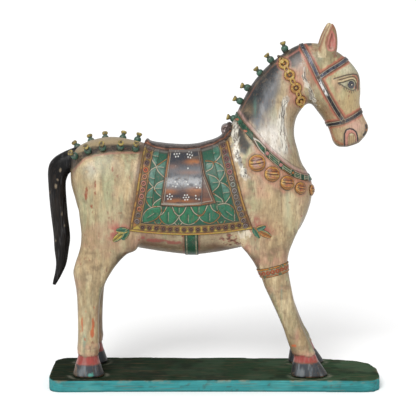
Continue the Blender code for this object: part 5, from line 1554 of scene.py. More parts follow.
def rollPommel():
    look = saddleLook
    r, half = look["pommelRadius"], look["pommelHalf"]
    place = Matrix.Translation(look["pommelPlace"]) @ Matrix.Rotation(math.pi / 2, 4, "X")
    rows = [(0.0, half - 0.0016), (0.0016, half - 0.0012)] + [(r * k, half - 0.0008 * (1 - k))
        for k in np.linspace(0.18, 0.8, 20)]
    rows += [(r * (0.8 + 0.2 * math.sin(t)), half - 0.004 * (1 - math.cos(t)))
        for t in np.linspace(0.15, math.pi / 2, 8)]
    rows += [(r, h) for h in np.linspace(half - 0.0045, 0, 14)]
    rows = rows + [(a, -b) for a, b in rows[::-1][1:]]
    bm = bmesh.new()
    lathe(bm, rows, place, 56)
    made = fromBmesh("saddle_pommel", bm)
    points, normals = pointsOf(made.data), normalsOf(made.data)
    px, pz = points[:, 0] - look["pommelPlace"][0], points[:, 2] - look["pommelPlace"][2]
    radius = np.hypot(px, pz)
    angle = np.arctan2(pz, px)
    coil = radius / r * 2.0 - (angle / (2 * math.pi)) - 0.2
    groove = hump((coil % 1.0) - 0.5, 0.12) * (np.abs(points[:, 1]) > half * 0.8) * ramp(0.1 * r, 0.25 * r,
        radius) * ramp(r * 1.0, r * 0.9, radius)
    n1 = mottle(points, 0.006, 35)
    points = points - normals * (groove * 0.0016 + (n1 - 0.5) * 0.0004)[:, None]
    movePoints(made.data, points)
    rgb = coat((0.4, 0.3, 0.28), points)
    wash(rgb, look["dark"], np.clip(groove + ramp(0.48, 0.7, n1) * 0.5, 0, 1))
    # pale patches over the scroll: painted highlights
    wash(rgb, (0.8, 0.68, 0.66), ramp(0.46, 0.66, mottle(points, 0.008, 36)) * 0.75)
    wash(rgb, look["dark"], ramp(0.86, 0.97, radius / r) * 0.5)
    return dress(made, "saddlePaint", rgb, groove * 0.6)


carveSeat()
rollPommel()
print("saddle carved")

# straps, collar, girth, knee bands and tassels laid on the carved form
harnessLook = {
    "strapWidth": 0.0108,
    "strapRise": 0.0024,
    "collarWidth": 0.015,
    "collarRise": 0.0026,
    "girthWidth": 0.0345,
    "girthLine": [(-0.0574, 0.406), (-0.057, 0.37), (-0.056, 0.3)],
    "kneeWidth": 0.024,
    "kneeLine": [(0.1121, 0.2906), (0.1803, 0.3074)],
    "black": (0.02, 0.021, 0.026),
    "cream": (0.66, 0.55, 0.38),
    "worn": (0.95, 0.93, 0.9),
    "brown": (0.14, 0.085, 0.05),
    "green": (0.012, 0.085, 0.042),
    "midGreen": (0.055, 0.19, 0.115),
    "darkGreen": (0.012, 0.045, 0.026),
    "orange": (0.42, 0.15, 0.03),
    "pink": (0.52, 0.22, 0.19),
    "fields": [0.0935, 0.1275, 0.1601, 0.1898, 0.214, 0.233, 0.27],
    "beads": [(0.1275, 0.5871, 0.0042), (0.1601, 0.5589, 0.0042), (0.1898, 0.5381, 0.003)],
    "redSpots": [(0.056, 0.665, 0.005), (0.0755, 0.639, 0.006), (0.0835, 0.619, 0.0035),
        (0.047, 0.679, 0.004)],
    # leaves of the tassels: root, tip, width, middle ink, rim ink
    "tassels": [((-0.211, 0.399), (-0.2405, 0.4), 0.017, "midGreen", "yellow"),
        ((-0.2095, 0.402), (-0.225, 0.3765), 0.016, "midGreen", "green"),
        ((-0.2215, 0.3945), (-0.248, 0.3735), 0.017, "yellow", "midGreen"),
        ((0.093, 0.406), (0.11, 0.3805), 0.015, "midGreen", "orange"),
        ((0.099, 0.3995), (0.1245, 0.41), 0.015, "midGreen", "orange"),
        ((0.107, 0.398), (0.138, 0.3835), 0.0165, "orange", "midGreen")],
    "yellow": (0.6, 0.4, 0.06),
}


def flankPath(line, side):  # the side-view line laid on one flank, where it meets the form
    fine = evenly(smoothRows(line, 8), 0.0006)
    made = []
    for x, z in fine:
        spot = fromFlank(x, z, side)[0]
        if spot:
            made.append(tuple(spot))
    return made


def roundPath(line, closed):  # both flanks joined over the middle
    near, far = flankPath(line, -1), flankPath(line, 1)
    if closed:
        return near + far[::-1]
    return near + far[::-1] if near[-1][1] ** 2 < near[0][1] ** 2 else near[::-1] + far


def onForm(points):
    spots, outward = np.empty_like(points), np.empty_like(points)
    for i, p in enumerate(points):
        spots[i], outward[i] = bareTree.find_nearest(Vector(p))[:2]
    return spots, outward


def settleRows(rows, closed, rounds, amount=0.5):
    for turn in range(rounds):
        if closed:
            middle = (np.roll(rows, 1, axis=0) + np.roll(rows, -1, axis=0)) / 2
            rows = rows * (1 - amount) + middle * amount
        else:
            rows[1:-1] = rows[1:-1] * (1 - amount) + (rows[:-2] + rows[2:]) / 2 * amount
    return rows


def layStrap(path, width, closed=False, step=0.0011, across=17, settle=8):
    # gives the strap's surface grid, its outward directions, its length marks and its cross marks
    line = evenly(path, step, closed=closed)
    line = settleRows(line, closed, settle)
    line = evenly(line, step, closed=closed)
    line, outward = onForm(line)
    line = settleRows(line, closed, 4)
    if closed:
        ahead = np.roll(line, -1, axis=0) - np.roll(line, 1, axis=0)
    else:
        ahead = np.gradient(line, axis=0)
    ahead /= np.linalg.norm(ahead, axis=1)[:, None] + 1e-12
    outward = settleRows(outward, closed, 6)
    sideways = np.cross(outward, ahead)
    sideways /= np.linalg.norm(sideways, axis=1)[:, None] + 1e-12
    sideways = settleRows(sideways, closed, 6)
    share = np.linspace(0, 1, len(line))
    half = (width(share) if callable(width) else np.full(len(line), width)) / 2
    u = np.sin(np.linspace(-1, 1, across) * math.pi / 2 * 0.92) / math.sin(math.pi / 2 * 0.92)
    grid = np.empty((len(line), across, 3))
    normals = np.empty_like(grid)
    for j, k in enumerate(u):
        grid[:, j], normals[:, j] = onForm(line + sideways * (half * k)[:, None])
    grid = settleRows(grid, closed, 3)
    normals = settleRows(normals, closed, 5)
    normals /= np.linalg.norm(normals, axis=2)[:, :, None]
    marks = np.concatenate([[0], np.cumsum(np.linalg.norm(np.diff(line, axis=0), axis=1))])
    return grid, normals, marks, u, half


def strapMesh(name, grid, normals, rise, closed, sink=0.0045):
    rows, columns = grid.shape[:2]
    top = grid + normals * rise[:, :, None]
    low = np.stack([grid[:, k] - normals[:, k] * sink for k in (-1, columns // 2, 0)], axis=1)
    rings = np.concatenate([top, low], axis=1)
    wide = columns + 3
    index = np.arange(rows * wide).reshape(rows, wide)
    faces = []
    pairs = list(range(rows - 1)) + ([rows - 1] if closed else [])
    for i in pairs:
        k = (i + 1) % rows
        for j in range(wide):
            m = (j + 1) % wide
            faces.append((index[i, j], index[i, m], index[k, m], index[k, j]))
    if not closed:
        faces += [tuple(index[0]), tuple(index[-1][::-1])]
    made = fromArrays(name, rings.reshape(-1, 3), faces)
    cleanFaces(made)
    return made


def strapProfile(u, height, lip=0.35):
    body = (1 - np.abs(u) ** 7) * height * 0.55 + height * 0.3
    edge = height * lip * hump(np.abs(u) - 0.8, 0.14)
    return body + edge


def makeStrap(name, path, width, style, closed=False, rise=None, finish="harnessPaint", across=17):
    look = harnessLook
    rise = rise or look["strapRise"]
    grid, normals, marks, u, half = layStrap(path, width, closed, across=across)
    rows, columns = grid.shape[:2]
    shape = np.tile(strapProfile(u, rise), (rows, 1))
    if not closed:
        shape *= (0.35 + 0.65 * ramp(0, 0.003, np.minimum(marks, marks[-1] - marks)))[:, None]
    spots = grid.reshape(-1, 3)
    s = np.repeat(marks, columns)
    cross = np.tile(u, rows)
    rgb, lift = style(spots, s, cross, np.repeat(half, columns))
    shape = shape + lift.reshape(rows, columns)
    made = strapMesh(name, grid, normals, shape, closed)
    full = np.zeros((rows, columns + 3, 3))
    full[:, :columns] = rgb.reshape(rows, columns, 3)
    full[:, columns:] = np.array(look["darkGreen"]) * 0.6 + 0.01
    grimeAndShade = np.zeros((rows, columns + 3))
    grimeAndShade[:, :columns] = (0.5 * ramp(0.86, 1.0, np.abs(cross))).reshape(rows, columns)
    return dress(made, finish, full.reshape(-1, 3), grimeAndShade.ravel())


def bridlePaint(spots, s, u, half):
    look = harnessLook
    x, z = spots[:, 0], spots[:, 2]
    n1, n2 = mottle(spots, 0.007, 51), mottle(spots, 0.018, 52)
    fine = mottle(spots * [1, 1, 0.4], 0.004, 53)
    rgb = coat(look["black"], spots)
    slate = (z > 0.752) * 0.85 + ((x > 0.305) & (z < 0.7)) * 0.55
    wash(rgb, (0.115, 0.125, 0.165), slate * ramp(0.3, 0.6, n2 * 0.5 + fine * 0.5))
    wash(rgb, (0.17, 0.12, 0.085), ((x > 0.305) & (z < 0.7)) * ramp(0.42, 0.62, n1) * 0.75)
    wash(rgb, (0.36, 0.34, 0.4), ramp(0.54, 0.68, fine) * ((z > 0.775) & (x < 0.262)) * 0.7)
    edge = hump(np.abs(u) - 0.8, 0.11)
    wash(rgb, look["cream"], edge * (0.35 + 0.6 * ramp(0.38, 0.5, n1 * 0.4 + n2 * 0.6)))
    wash(rgb, look["brown"], ramp(0.9, 0.97, np.abs(u)) * 0.8)
    worn = ramp(0.36, 0.46, mottle(spots * [1, 1, 0.5], 0.006, 54)) * ramp(0.722, 0.732, z) * ramp(0.772,
        0.764, z)
    wash(rgb, look["worn"], worn * (x > 0.245) * (x < 0.288) * ramp(0.75, 0.35, np.abs(u + 0.3)) * 0.95)
    return rgb, 0.00025 * (n1 - 0.5) * 2


def collarPaint(spots, s, u, half):  # u is -1 at the lower edge and 1 towards the head
    look = harnessLook
    x, z = spots[:, 0], spots[:, 2]
    n1, n2 = mottle(spots, 0.006, 55), mottle(spots, 0.02, 56)
    across = np.abs(u)
    rgb = coat(look["green"], spots)
    wash(rgb, look["midGreen"], ramp(0.46, 0.66, n1) * 0.6)
    wash(rgb, look["darkGreen"], ramp(0.52, 0.7, n2) * 0.6)
    lift = 0.0002 * (n1 - 0.5) * 2
    # the plain upper part, with a ragged rim and spots of red
    plain = ramp(0.0945, 0.0925, x)
    wash(rgb, look["brown"], plain * ramp(0.7, 0.95, across + (n1 - 0.5) * 0.5) * 0.85)
    for px, pz, size in look["redSpots"]:
        spot = patch(spots, px, pz, size, size * 0.6) + (n1 - 0.5) * 0.5
        wash(rgb, (0.55, 0.16, 0.08), ramp(0.42, 0.6, spot) * plain * 0.85)
    # fields between the beads: strips laid lengthwise, outlined in cream and orange
    marks = look["fields"]
    for k, (start, end) in enumerate(zip(marks, marks[1:])):
        inside = (x > start) & (x <= end)
        share = np.clip((x - start) / (end - start), 0, 1)
        fromEnd = np.minimum(x - start, end - x) * 1.25
        if k == 0:
            half0 = 0.92 * ramp(-0.05, 0.55, share) ** 0.8
            ring = hump(across - half0 + 0.1, 0.12) * ramp(0.0, 0.04, share)
            warm = hump(across - half0 + 0.28, 0.07) * ramp(0.05, 0.15, share)
            wash(rgb, look["brown"], inside * ramp(half0 - 0.05, half0 + 0.05, across) * 0.85)
            wash(rgb, look["orange"], inside * warm * 0.7)
            wash(rgb, (0.95, 0.9, 0.8), inside * ring * ramp(0.0034, 0.0046, end - x) * 0.95)
        else:
            strips = hump(across - 0.3, 0.085) * (0.4 + 0.6 * ramp(0.38, 0.5, n2))
            rims = hump(across - 0.82, 0.11)
            body = ramp(0.0042, 0.0058, fromEnd)
            wash(rgb, look["cream"], inside * strips * body * 0.95)
            wash(rgb, look["cream"] if k % 2 else look["orange"], inside * rims * body * 0.9)
            wash(rgb, look["darkGreen"], inside * hump(across - 0.6, 0.12) * body * 0.7)
            lift += inside * body * 0.00045 * (strips + rims)
        bars = hump(fromEnd - 0.006, 0.0009) * ((end - x < x - start) | (k > 0))
        wash(rgb, look["cream"], inside * bars * (across < 0.85) * 0.85)
        lift += inside * bars * 0.0005
    for px, pz, size in look["beads"]:
        dx, dz = x - px, z - pz
        box = np.maximum(np.abs(dx * 0.8 - dz * 0.6), np.abs(dx * 0.6 + dz * 0.8))
        ink = look["pink"] if size > 0.0035 else look["orange"]
        wash(rgb, look["darkGreen"], ramp(size + 0.0022, size + 0.0008, box) * 0.85)
        wash(rgb, ink, ramp(size, size - 0.0007, box) * 0.95)
        lift += 0.001 * ramp(size + 0.0004, size - 0.001, box)
    wash(rgb, look["brown"], ramp(0.93, 0.99, across) * 0.8)
    return rgb, lift


def girthPaint(spots, s, u, half):
    look = harnessLook
    n1, n2 = mottle(spots, 0.008, 61), mottle(spots, 0.024, 62)
    rgb = coat(look["green"], spots)
    wash(rgb, (0.02, 0.16, 0.075), ramp(0.48, 0.68, n1) * 0.6)
    wash(rgb, look["darkGreen"], ramp(0.5, 0.68, n2) * 0.6)
    inner = hump(np.abs(u) - 0.68, 0.06)
    wash(rgb, look["cream"], inner * (0.45 + 0.45 * ramp(0.4, 0.55, n1)))
    wash(rgb, look["darkGreen"], ramp(0.78, 0.86, np.abs(u)) * 0.7)
    wash(rgb, (0.3, 0.08, 0.04), ramp(0.93, 0.98, np.abs(u)) * 0.7)
    return rgb, 0.0005 * inner + 0.0002 * (n1 - 0.5) * 2


def kneePaint(spots, s, u, half):  # u runs from the lower edge, -1, to the upper edge, 1
    look = harnessLook
    n1, n2 = mottle(spots, 0.007, 65), mottle(spots, 0.003, 66)
    rgb = coat((0.4, 0.3, 0.17), spots)
    wash(rgb, (0.22, 0.13, 0.06), ramp(0.42, 0.62, n1) * 0.75)
    cell = ((s / 0.0114) % 1.0 - 0.5) * 0.0114
    r = np.hypot(cell, (u + 0.02) * half)
    wash(rgb, (0.05, 0.025, 0.018), ramp(0.006, 0.0052, r) * 0.9)
    wash(rgb, (0.52, 0.1, 0.02), ramp(0.005, 0.0044, r) * 0.95)
    wash(rgb, (0.06, 0.028, 0.018), ramp(0.003, 0.0024, r) * 0.85)
    wash(rgb, (0.6, 0.34, 0.24), ramp(0.0016, 0.001, r) * 0.9)
    top, low = ramp(0.62, 0.7, u), ramp(-0.66, -0.74, u)
    wash(rgb, (0.62, 0.25, 0.03), top * ramp(0.35, 0.5, n1 + 0.1))
    wash(rgb, (0.52, 0.17, 0.03), low * ramp(0.3, 0.5, n2 + 0.1))
    wash(rgb, look["midGreen"], (top + low) * ramp(0.58, 0.66, n1) * 0.9)
    wash(rgb, (0.05, 0.03, 0.022), hump(np.abs(u) - 0.62, 0.06) * 0.85)
    wash(rgb, (0.06, 0.022, 0.016), ramp(0.86, 0.95, np.abs(u)) * 0.92)
    wash(rgb, (0.66, 0.5, 0.22), ramp(0.66, 0.74, n2) * 0.5)
    lift = 0.0009 * hump(r - 0.0036, 0.0014) + 0.0006 * hump(np.abs(u) - 0.82, 0.08)
    return rgb, lift + 0.0002 * (n1 - 0.5)


def leafPaint(middle, rim):
    def style(spots, s, u, half):
        look = harnessLook
        n1 = mottle(spots, 0.006, 68)
        rgb = coat(look[middle], spots)
        wash(rgb, look["green"], ramp(0.45, 0.65, n1) * 0.6 * (middle != "orange"))
        wash(rgb, look[rim], ramp(0.4, 0.62, u + (n1 - 0.5) * 0.4) * 0.9)
        wash(rgb, look["darkGreen"], hump(u, 0.16) * 0.8)
        wash(rgb, look["darkGreen"], ramp(0.86, 0.97, np.abs(u)) * 0.9)
        wash(rgb, (0.62, 0.5, 0.22), hump(np.abs(u) - 0.7, 0.1) * ramp(0.42, 0.56, n1) * 0.8)
        wash(rgb, (0.03, 0.02, 0.018), ramp(0.88, 0.97, np.abs(u)) * 0.9)
        return rgb, -0.0007 * hump(u, 0.18)
    return style


def leafWidth(wide):
    def width(share):
        return wide * (0.22 + 0.78 * np.sin(np.pi * np.clip(share, 0, 1) ** 0.9) ** 0.7)
    return width


for sideName, side in flanks:
    makeStrap(f"bridle_cheek_{sideName}", flankPath(layout["cheek"], side), harnessLook["strapWidth"],
        bridlePaint)
    for i, (root, tip, wide, middle, rim) in enumerate(harnessLook["tassels"]):
        line = evenly([root, tip], count=12)
        makeStrap(f"tassel_{sideName}_{i + 1}", flankPath(line, side), leafWidth(wide),
            leafPaint(middle, rim), rise=0.0024, across=15)
makeStrap("bridle_crown", roundPath(layout["crown"][::-1], False), harnessLook["strapWidth"], bridlePaint)
makeStrap("bridle_brow", roundPath(layout["brow"], False), harnessLook["strapWidth"], bridlePaint)
makeStrap("bridle_nose", roundPath(layout["nose"], True), harnessLook["strapWidth"], bridlePaint,
    closed=True)
makeStrap("collar", roundPath(layout["collar"], True), harnessLook["collarWidth"], collarPaint, closed=True,
    rise=harnessLook["collarRise"], across=25)
makeStrap("girth", roundPath(harnessLook["girthLine"], False), harnessLook["girthWidth"], girthPaint,
    rise=0.0022, across=21)


def kneePath(side):
    (x0, z0), (x1, z1) = harnessLook["kneeLine"]
    middle = Vector(((x0 + x1) / 2, side * horseShape["stance"], (z0 + z1) / 2))
    slope = Vector((x1 - x0, 0, z1 - z0)).normalized()
    made = []
    for i in range(240):
        turn = 2 * math.pi * i / 240
        way = slope * math.cos(turn) + Vector((0, 1, 0)) * math.sin(turn)
        reach = 0.06 * abs(math.cos(turn)) + 0.04
        spot = bareTree.ray_cast(middle + way * reach, -way)[0]
        if spot:
            made.append(tuple(spot))
    return made


for sideName, side in flanks:
    makeStrap(f"knee_band_{sideName}", kneePath(side), harnessLook["kneeWidth"], kneePaint, closed=True,
        rise=0.0022, across=27)
print("harness laid")

# bells, neck chain and eyes
bossLook = {
    "bellHeight": 0.56,
    "gold": (0.58, 0.28, 0.055),
    "brown": (0.055, 0.025, 0.016),
    "worn": (0.58, 0.36, 0.3),
    "pale": (0.66, 0.46, 0.12),
    "chainGold": (0.5, 0.34, 0.08),
    "chainDark": (0.04, 0.028, 0.02),
    "ringRadius": 0.01,
    "ringBar": 0.0037,
    "tieRadius": 0.0046,
    "tieBar": 0.0022,
    "bossSize": 0.0072,
    "bossTurn": 20.0,
    "iris": (0.016, 0.015, 0.019),
    "eyePlace": (0.3314, 0.7512),
    "eyeRadius": 0.0096,
    "bosses": [(0.2506, 0.7696), (0.3146, 0.6625)],
}


def seatOn(spot, normal):
    return Matrix.Translation(spot) @ normal.to_track_quat("Z", "Y").to_matrix().to_4x4()


def flankSeat(x, z, side, tree=None):
    return seatOn(*fromFlank(x, z, side, tree))


def domeRows(radius, height, rows, below=0.3):
    turns = [math.pi / 2 * i / rows for i in range(rows)]
    return [(radius * 0.86, -radius * below)] + [(radius * math.cos(t), height * math.sin(t))
        for t in turns] + [(0, height)]


def makeBell(name, place, radius, worn=0.0, roll=0.0):
    look = bossLook
    bm = bmesh.new()
    lathe(bm, domeRows(radius, radius * look["bellHeight"], 20), Matrix.Identity(4), 64)
    made = fromBmesh(name, bm)
    local = pointsOf(made.data)
    normals = normalsOf(made.data)
    up = place.to_3x3().inverted() @ Vector((0, 0, 1))
    angle = math.atan2(up.y, up.x) + roll
    v = (local[:, 0] * math.cos(angle) + local[:, 1] * math.sin(angle)) / radius
    h = (local[:, 0] * math.sin(angle) - local[:, 1] * math.cos(angle)) / radius
    r = np.hypot(local[:, 0], local[:, 1]) / radius
    bend = 0.1 * (1 - h**2)
    slot = hump(v + bend, 0.055) * ramp(0.86, 0.74, r)
    lips = hump(np.abs(v + bend) - 0.17, 0.075) * ramp(0.94, 0.84, r)
    arcs = hump(np.abs(v + bend * 2.2) - 0.52, 0.05) * ramp(0.92, 0.82, r)
    rib = hump((v - 0.3 + 0.25 * h**2) % 0.22 - 0.11, 0.045) * (v > 0.3) * ramp(0.92, 0.8, r)
    rim = hump(r - 0.93, 0.05) * (local[:, 2] > 0)
    n1 = mottle(local + np.array(place.translation), radius * 0.4, 71)
    lift = radius * (0.075 * lips - 0.06 * slot - 0.035 * arcs - 0.022 * rib + 0.045 * rim) + 0.0003 * (n1
        - 0.5)
    local = local + normals * lift[:, None]
    movePoints(made.data, local)
    made.data.transform(place)
    rgb = coat(look["gold"], local)
    wash(rgb, look["pale"], ramp(0.46, 0.62, n1) * 0.6)
    wash(rgb, (0.42, 0.095, 0.02), ramp(0.46, 0.6, mottle(local, radius * 0.6, 72)) * 0.85)
    wash(rgb, look["brown"], ramp(0.58, 0.69, mottle(local, radius * 0.35, 73)) * 0.6)
    wash(rgb, look["worn"], worn * ramp(0.85, 0.45, r) * ramp(0.36, 0.56, n1) * 0.85)
    wash(rgb, (0.5, 0.18, 0.02), ramp(0.72, 0.88, r + (n1 - 0.5) * 0.2) * 0.8)
    wash(rgb, (0.74, 0.55, 0.2), np.clip(lips, 0, 1) * ramp(0.55, 0.4, n1) * 0.75)
    wash(rgb, (0.72, 0.5, 0.12), rim * ramp(0.52, 0.42, n1) * 0.7)
    wash(rgb, look["brown"], np.clip(slot * 1.2, 0, 1) * 0.92)
    wash(rgb, look["brown"], np.clip(arcs + rib * 0.8, 0, 1) * 0.85)
    # painted shade on the bell's lower side
    low = ramp(-0.15, -0.85, v) * ramp(0.3, 0.9, r)
    wash(rgb, (0.16, 0.055, 0.022), low * 0.5)
    wash(rgb, look["brown"], ramp(0.955, 1.0, r) * 0.9)
    wash(rgb, look["brown"], ramp(0.05, -0.15, local[:, 2] / radius) * (r > 0.9) * 0.6)
    grimeAndShade = np.clip(slot * 0.7 + arcs * 0.35 + rib * 0.3, 0, 1)
    return dress(made, "goldPaint", rgb, grimeAndShade)


def addLink(bm, place, radius, bar, stretch, sides=40, around=14):
    rows = []
    for i in range(sides):
        turn = 2 * math.pi * i / sides
        row = []
        for j in range(around):
            t = 2 * math.pi * j / around
            reach = radius + bar * math.cos(t)
            spot = Vector((reach * math.cos(turn) * stretch, reach * math.sin(turn), bar * math.sin(t)))
            row.append(bm.verts.new(place @ spot))
        rows.append(row)
    for here, following in zip(rows, rows[1:] + rows[:1]):
        for j in range(around):
            k = (j + 1) % around
            bm.faces.new((here[j], here[k], following[k], following[j]))


def makeLinks(name, side):
    look = bossLook
    bm = bmesh.new()
    line = layout["chain"]
    for x, z in line:
        seat = flankSeat(x, z, side) @ Matrix.Translation((0, 0, look["ringBar"] * 0.3))
        addLink(bm, seat, look["ringRadius"], look["ringBar"], 1.0)
    ends = [(0.16, 0.817)] + line + [(0.214, 0.696)]
    for (x0, z0), (x1, z1) in zip(ends, ends[1:]):
        seat = flankSeat((x0 + x1) / 2, (z0 + z1) / 2, side)
        way = seat.to_3x3().inverted() @ Vector((x1 - x0, 0, z1 - z0))
        turned = Matrix.Rotation(math.atan2(way.y, way.x), 4, "Z")
        addLink(bm, seat @ turned @ Matrix.Translation((0, 0, 0.003)), look["tieRadius"], look["tieBar"],
            1.75)
    for x, z in [(0.1575, 0.8165)] + line:
        lathe(bm, domeRows(0.0036, 0.005, 6), flankSeat(x, z, side), 14)
    made = fromBmesh(name, bm)
    points = pointsOf(made.data)
    n1 = mottle(points, 0.004, 75)
    gap = np.array([bareTree.find_nearest(Vector(p))[3] for p in points])
    rgb = coat(look["chainGold"], points)
    wash(rgb, (0.4, 0.13, 0.025), ramp(0.42, 0.58, n1) * 0.75)
    # by height above the body: orange low down and dark where the links touch it are painted shade, bright
    # gold on top is painted highlight
    wash(rgb, (0.44, 0.15, 0.03), ramp(0.0036, 0.002, gap) * 0.75)
    wash(rgb, (0.62, 0.46, 0.12), ramp(0.0044, 0.0058, gap) * ramp(0.6, 0.4, n1) * 0.8)
    wash(rgb, look["chainDark"], ramp(0.0018, 0.0006, gap) * 0.9)
    wash(rgb, look["chainDark"], ramp(0.812, 0.818, points[:, 2]) * 0.9)
    # the dirt value here is painted shade where the links touch the body
    return dress(made, "goldPaint", rgb, ramp(0.0016, 0.0, gap) * 0.5)


def makeBoss(name, side, x, z):  # the small lozenge where two bridle straps cross
    look = bossLook
    bm = bmesh.new()
    size = look["bossSize"]
    rows = [(size * 0.9, -0.002), (size, 0.0016), (size * 0.86, 0.0031), (size * 0.55, 0.0034),
        (size * 0.3, 0.004), (0, 0.0042)]
    turn = Matrix.Rotation(math.radians(look["bossTurn"]) * -side, 4, "Z")
    lathe(bm, rows, flankSeat(x, z, side) @ turn, 4)
    bmesh.ops.bevel(bm, geom=bm.edges[:], offset=0.0004, segments=2, affect="EDGES")
    made = fromBmesh(name, bm)
    points = pointsOf(made.data)
    n1 = mottle(points, 0.004, 77)
    r = np.hypot(points[:, 0] - x, points[:, 2] - z) / size
    rgb = coat((0.1, 0.075, 0.065), points)
    wash(rgb, (0.5, 0.4, 0.28), hump(r - 0.75, 0.12) * ramp(0.3, 0.5, n1) * 0.8)
    return dress(made, "harnessPaint", rgb)


def makeEye(name, side):
    look = bossLook
    place = flankSeat(*look["eyePlace"], side, headTree)
    bm = bmesh.new()
    radius = look["eyeRadius"]
    lathe(bm, domeRows(radius, radius * 0.26, 16, 0.2), Matrix.Identity(4), 48)
    made = fromBmesh(name, bm)
    local = pointsOf(made.data)
    r = np.hypot(local[:, 0], local[:, 1]) / radius
    rgb = coat(look["iris"], local)
    wash(rgb, (0.045, 0.043, 0.058), hump(r - 0.62, 0.15) * 0.7)
    wash(rgb, (0.008, 0.007, 0.008), ramp(0.46, 0.36, r))
    made.data.transform(place)
    points = pointsOf(made.data)
    x, z = look["eyePlace"]
    glint = np.hypot(points[:, 0] - x - 0.0014, points[:, 2] - z - 0.0002)
    wash(rgb, (0.62, 0.55, 0.42), ramp(0.0019, 0.0011, glint) * 0.9)
    return dress(made, "eyeGloss", rgb)


for sideName, side in flanks:
    for i, (x, z, radius) in enumerate(layout["bells"]):
        makeBell(f"bell_{sideName}_{i + 1}", flankSeat(x, z, side), radius, worn=(0.95, 0.35, 0.2, 0.1)[i],
            roll=(0.15, -0.1, -0.15, -0.2)[i] * -side)
    makeLinks(f"chain_{sideName}", side)
    makeEye(f"eye_{sideName}", side)
    for i, (x, z) in enumerate(bossLook["bosses"]):
        makeBoss(f"bridle_boss_{sideName}_{i + 1}", side, x, z)
for i, (y, z, radius) in enumerate(layout["frontBells"]):
    spot, normal = bareTree.ray_cast(Vector((0.5, y, z)), Vector((-1, 0, 0)))[:2]
    makeBell(f"bell_front_{i + 1}", seatOn(spot, normal), radius)
print("bells, chain and eyes made")

# turned knobs along the mane and over the croup, and the tail
knobLook = {
    "radius": 0.0088,
    "length": 0.0245,
    "profile": [(0.7, -0.005 / 0.0245), (0.88, 0.04), (0.97, 0.15), (1.02, 0.27), (1.0, 0.38), (0.84, 0.5),
        (0.54, 0.59), (0.5, 0.64), (0.62, 0.72), (0.8, 0.82), (0.84, 0.88), (0.83, 0.95), (0.74, 0.995),
        (0.52, 1.0), (0.28, 0.985), (0.0, 0.97)],
    "mane": [(0.0464, 0.665, 165), (0.0617, 0.7085, 155), (0.08, 0.7412, 160), (0.111, 0.7775, 134),
        (0.1365, 0.8098, 130), (0.1715, 0.837, 109)],
    "croup": [(-0.338, 0.575), (-0.307, 0.5885), (-0.2725, 0.595), (-0.2303, 0.5965), (-0.1939, 0.5925)],
    "farRise": 0.01,
    "green": (0.045, 0.12, 0.08),
    "dark": (0.012, 0.038, 0.028),
    "cap": (0.4, 0.3, 0.08),
    "capDark": (0.06, 0.045, 0.03),
}


def makeKnob(name, seat, seed):
    look = knobLook
    fine = smoothRows(look["profile"], 3)
    rows = [(max(r, 0) * look["radius"], h * look["length"]) for r,
        h in fine[:-1]] + [(0.0, fine[-1][1] * look["length"])]
    bm = bmesh.new()
    lathe(bm, rows, Matrix.Identity(4), 28)
    made = fromBmesh(name + "_finish", bm)
    local, normals = pointsOf(made.data), normalsOf(made.data)
    n1 = mottle(local + seed * 0.05, 0.006, seed)
    turnLine = np.sin(local[:, 2] * 2 * np.pi / 0.0021) * 0.00008
    share = local[:, 2] / look["length"]
    local = local + normals * ((n1 - 0.5) * 0.0009 + turnLine * (share > 0.1))[:, None]
    movePoints(made.data, local)
    r = np.hypot(local[:, 0], local[:, 1]) / look["radius"]
    rgb = coat(look["green"], local)
    wash(rgb, look["dark"], ramp(0.42, 0.66, n1) * 0.75)
    wash(rgb, (0.17, 0.2, 0.14), ramp(0.6, 0.75, n1) * 0.5)
    wash(rgb, look["dark"], hump(share - 0.62, 0.07) * 0.75)
    cap = ramp(0.68, 0.74, share + (n1 - 0.5) * 0.06)
    wash(rgb, look["cap"], cap * 0.95)
    wash(rgb, look["capDark"], cap * ramp(0.44, 0.6, mottle(local + seed * 0.03, 0.004, seed + 5)) * 0.75)
    wash(rgb, look["capDark"], (share > 0.93) * ramp(0.5, 0.34, r) * 0.85)
    wash(rgb, look["dark"], ramp(0.12, 0.0, share) * 0.7)
    grimeAndShade = np.clip(hump(share - 0.6, 0.05) * 0.6 + ramp(0.1, 0.0, share) * 0.6, 0, 1)
    made.data.transform(seat)
    dress(made, "knobPaint", rgb, grimeAndShade)
    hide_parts(name)


for i, (x, z, lean) in enumerate(knobLook["mane"]):
    turn = Matrix.Rotation(math.radians(90 - lean), 4, "Y")
    makeKnob(f"mane_knob_{i + 1}", Matrix.Translation((x, 0, z)) @ turn
        @ Matrix.Translation((0, 0, -0.3 * knobLook["length"])), i + 1)
for sideName, side, lift in (("near", -1, 0), ("far", 1, knobLook["farRise"])):
    for i, (x, z) in enumerate(knobLook["croup"]):
        makeKnob(f"croup_knob_{sideName}_{i + 1}", flankSeat(x, z + lift, side), i + 11 + 7 * (side > 0))
print("knobs turned")

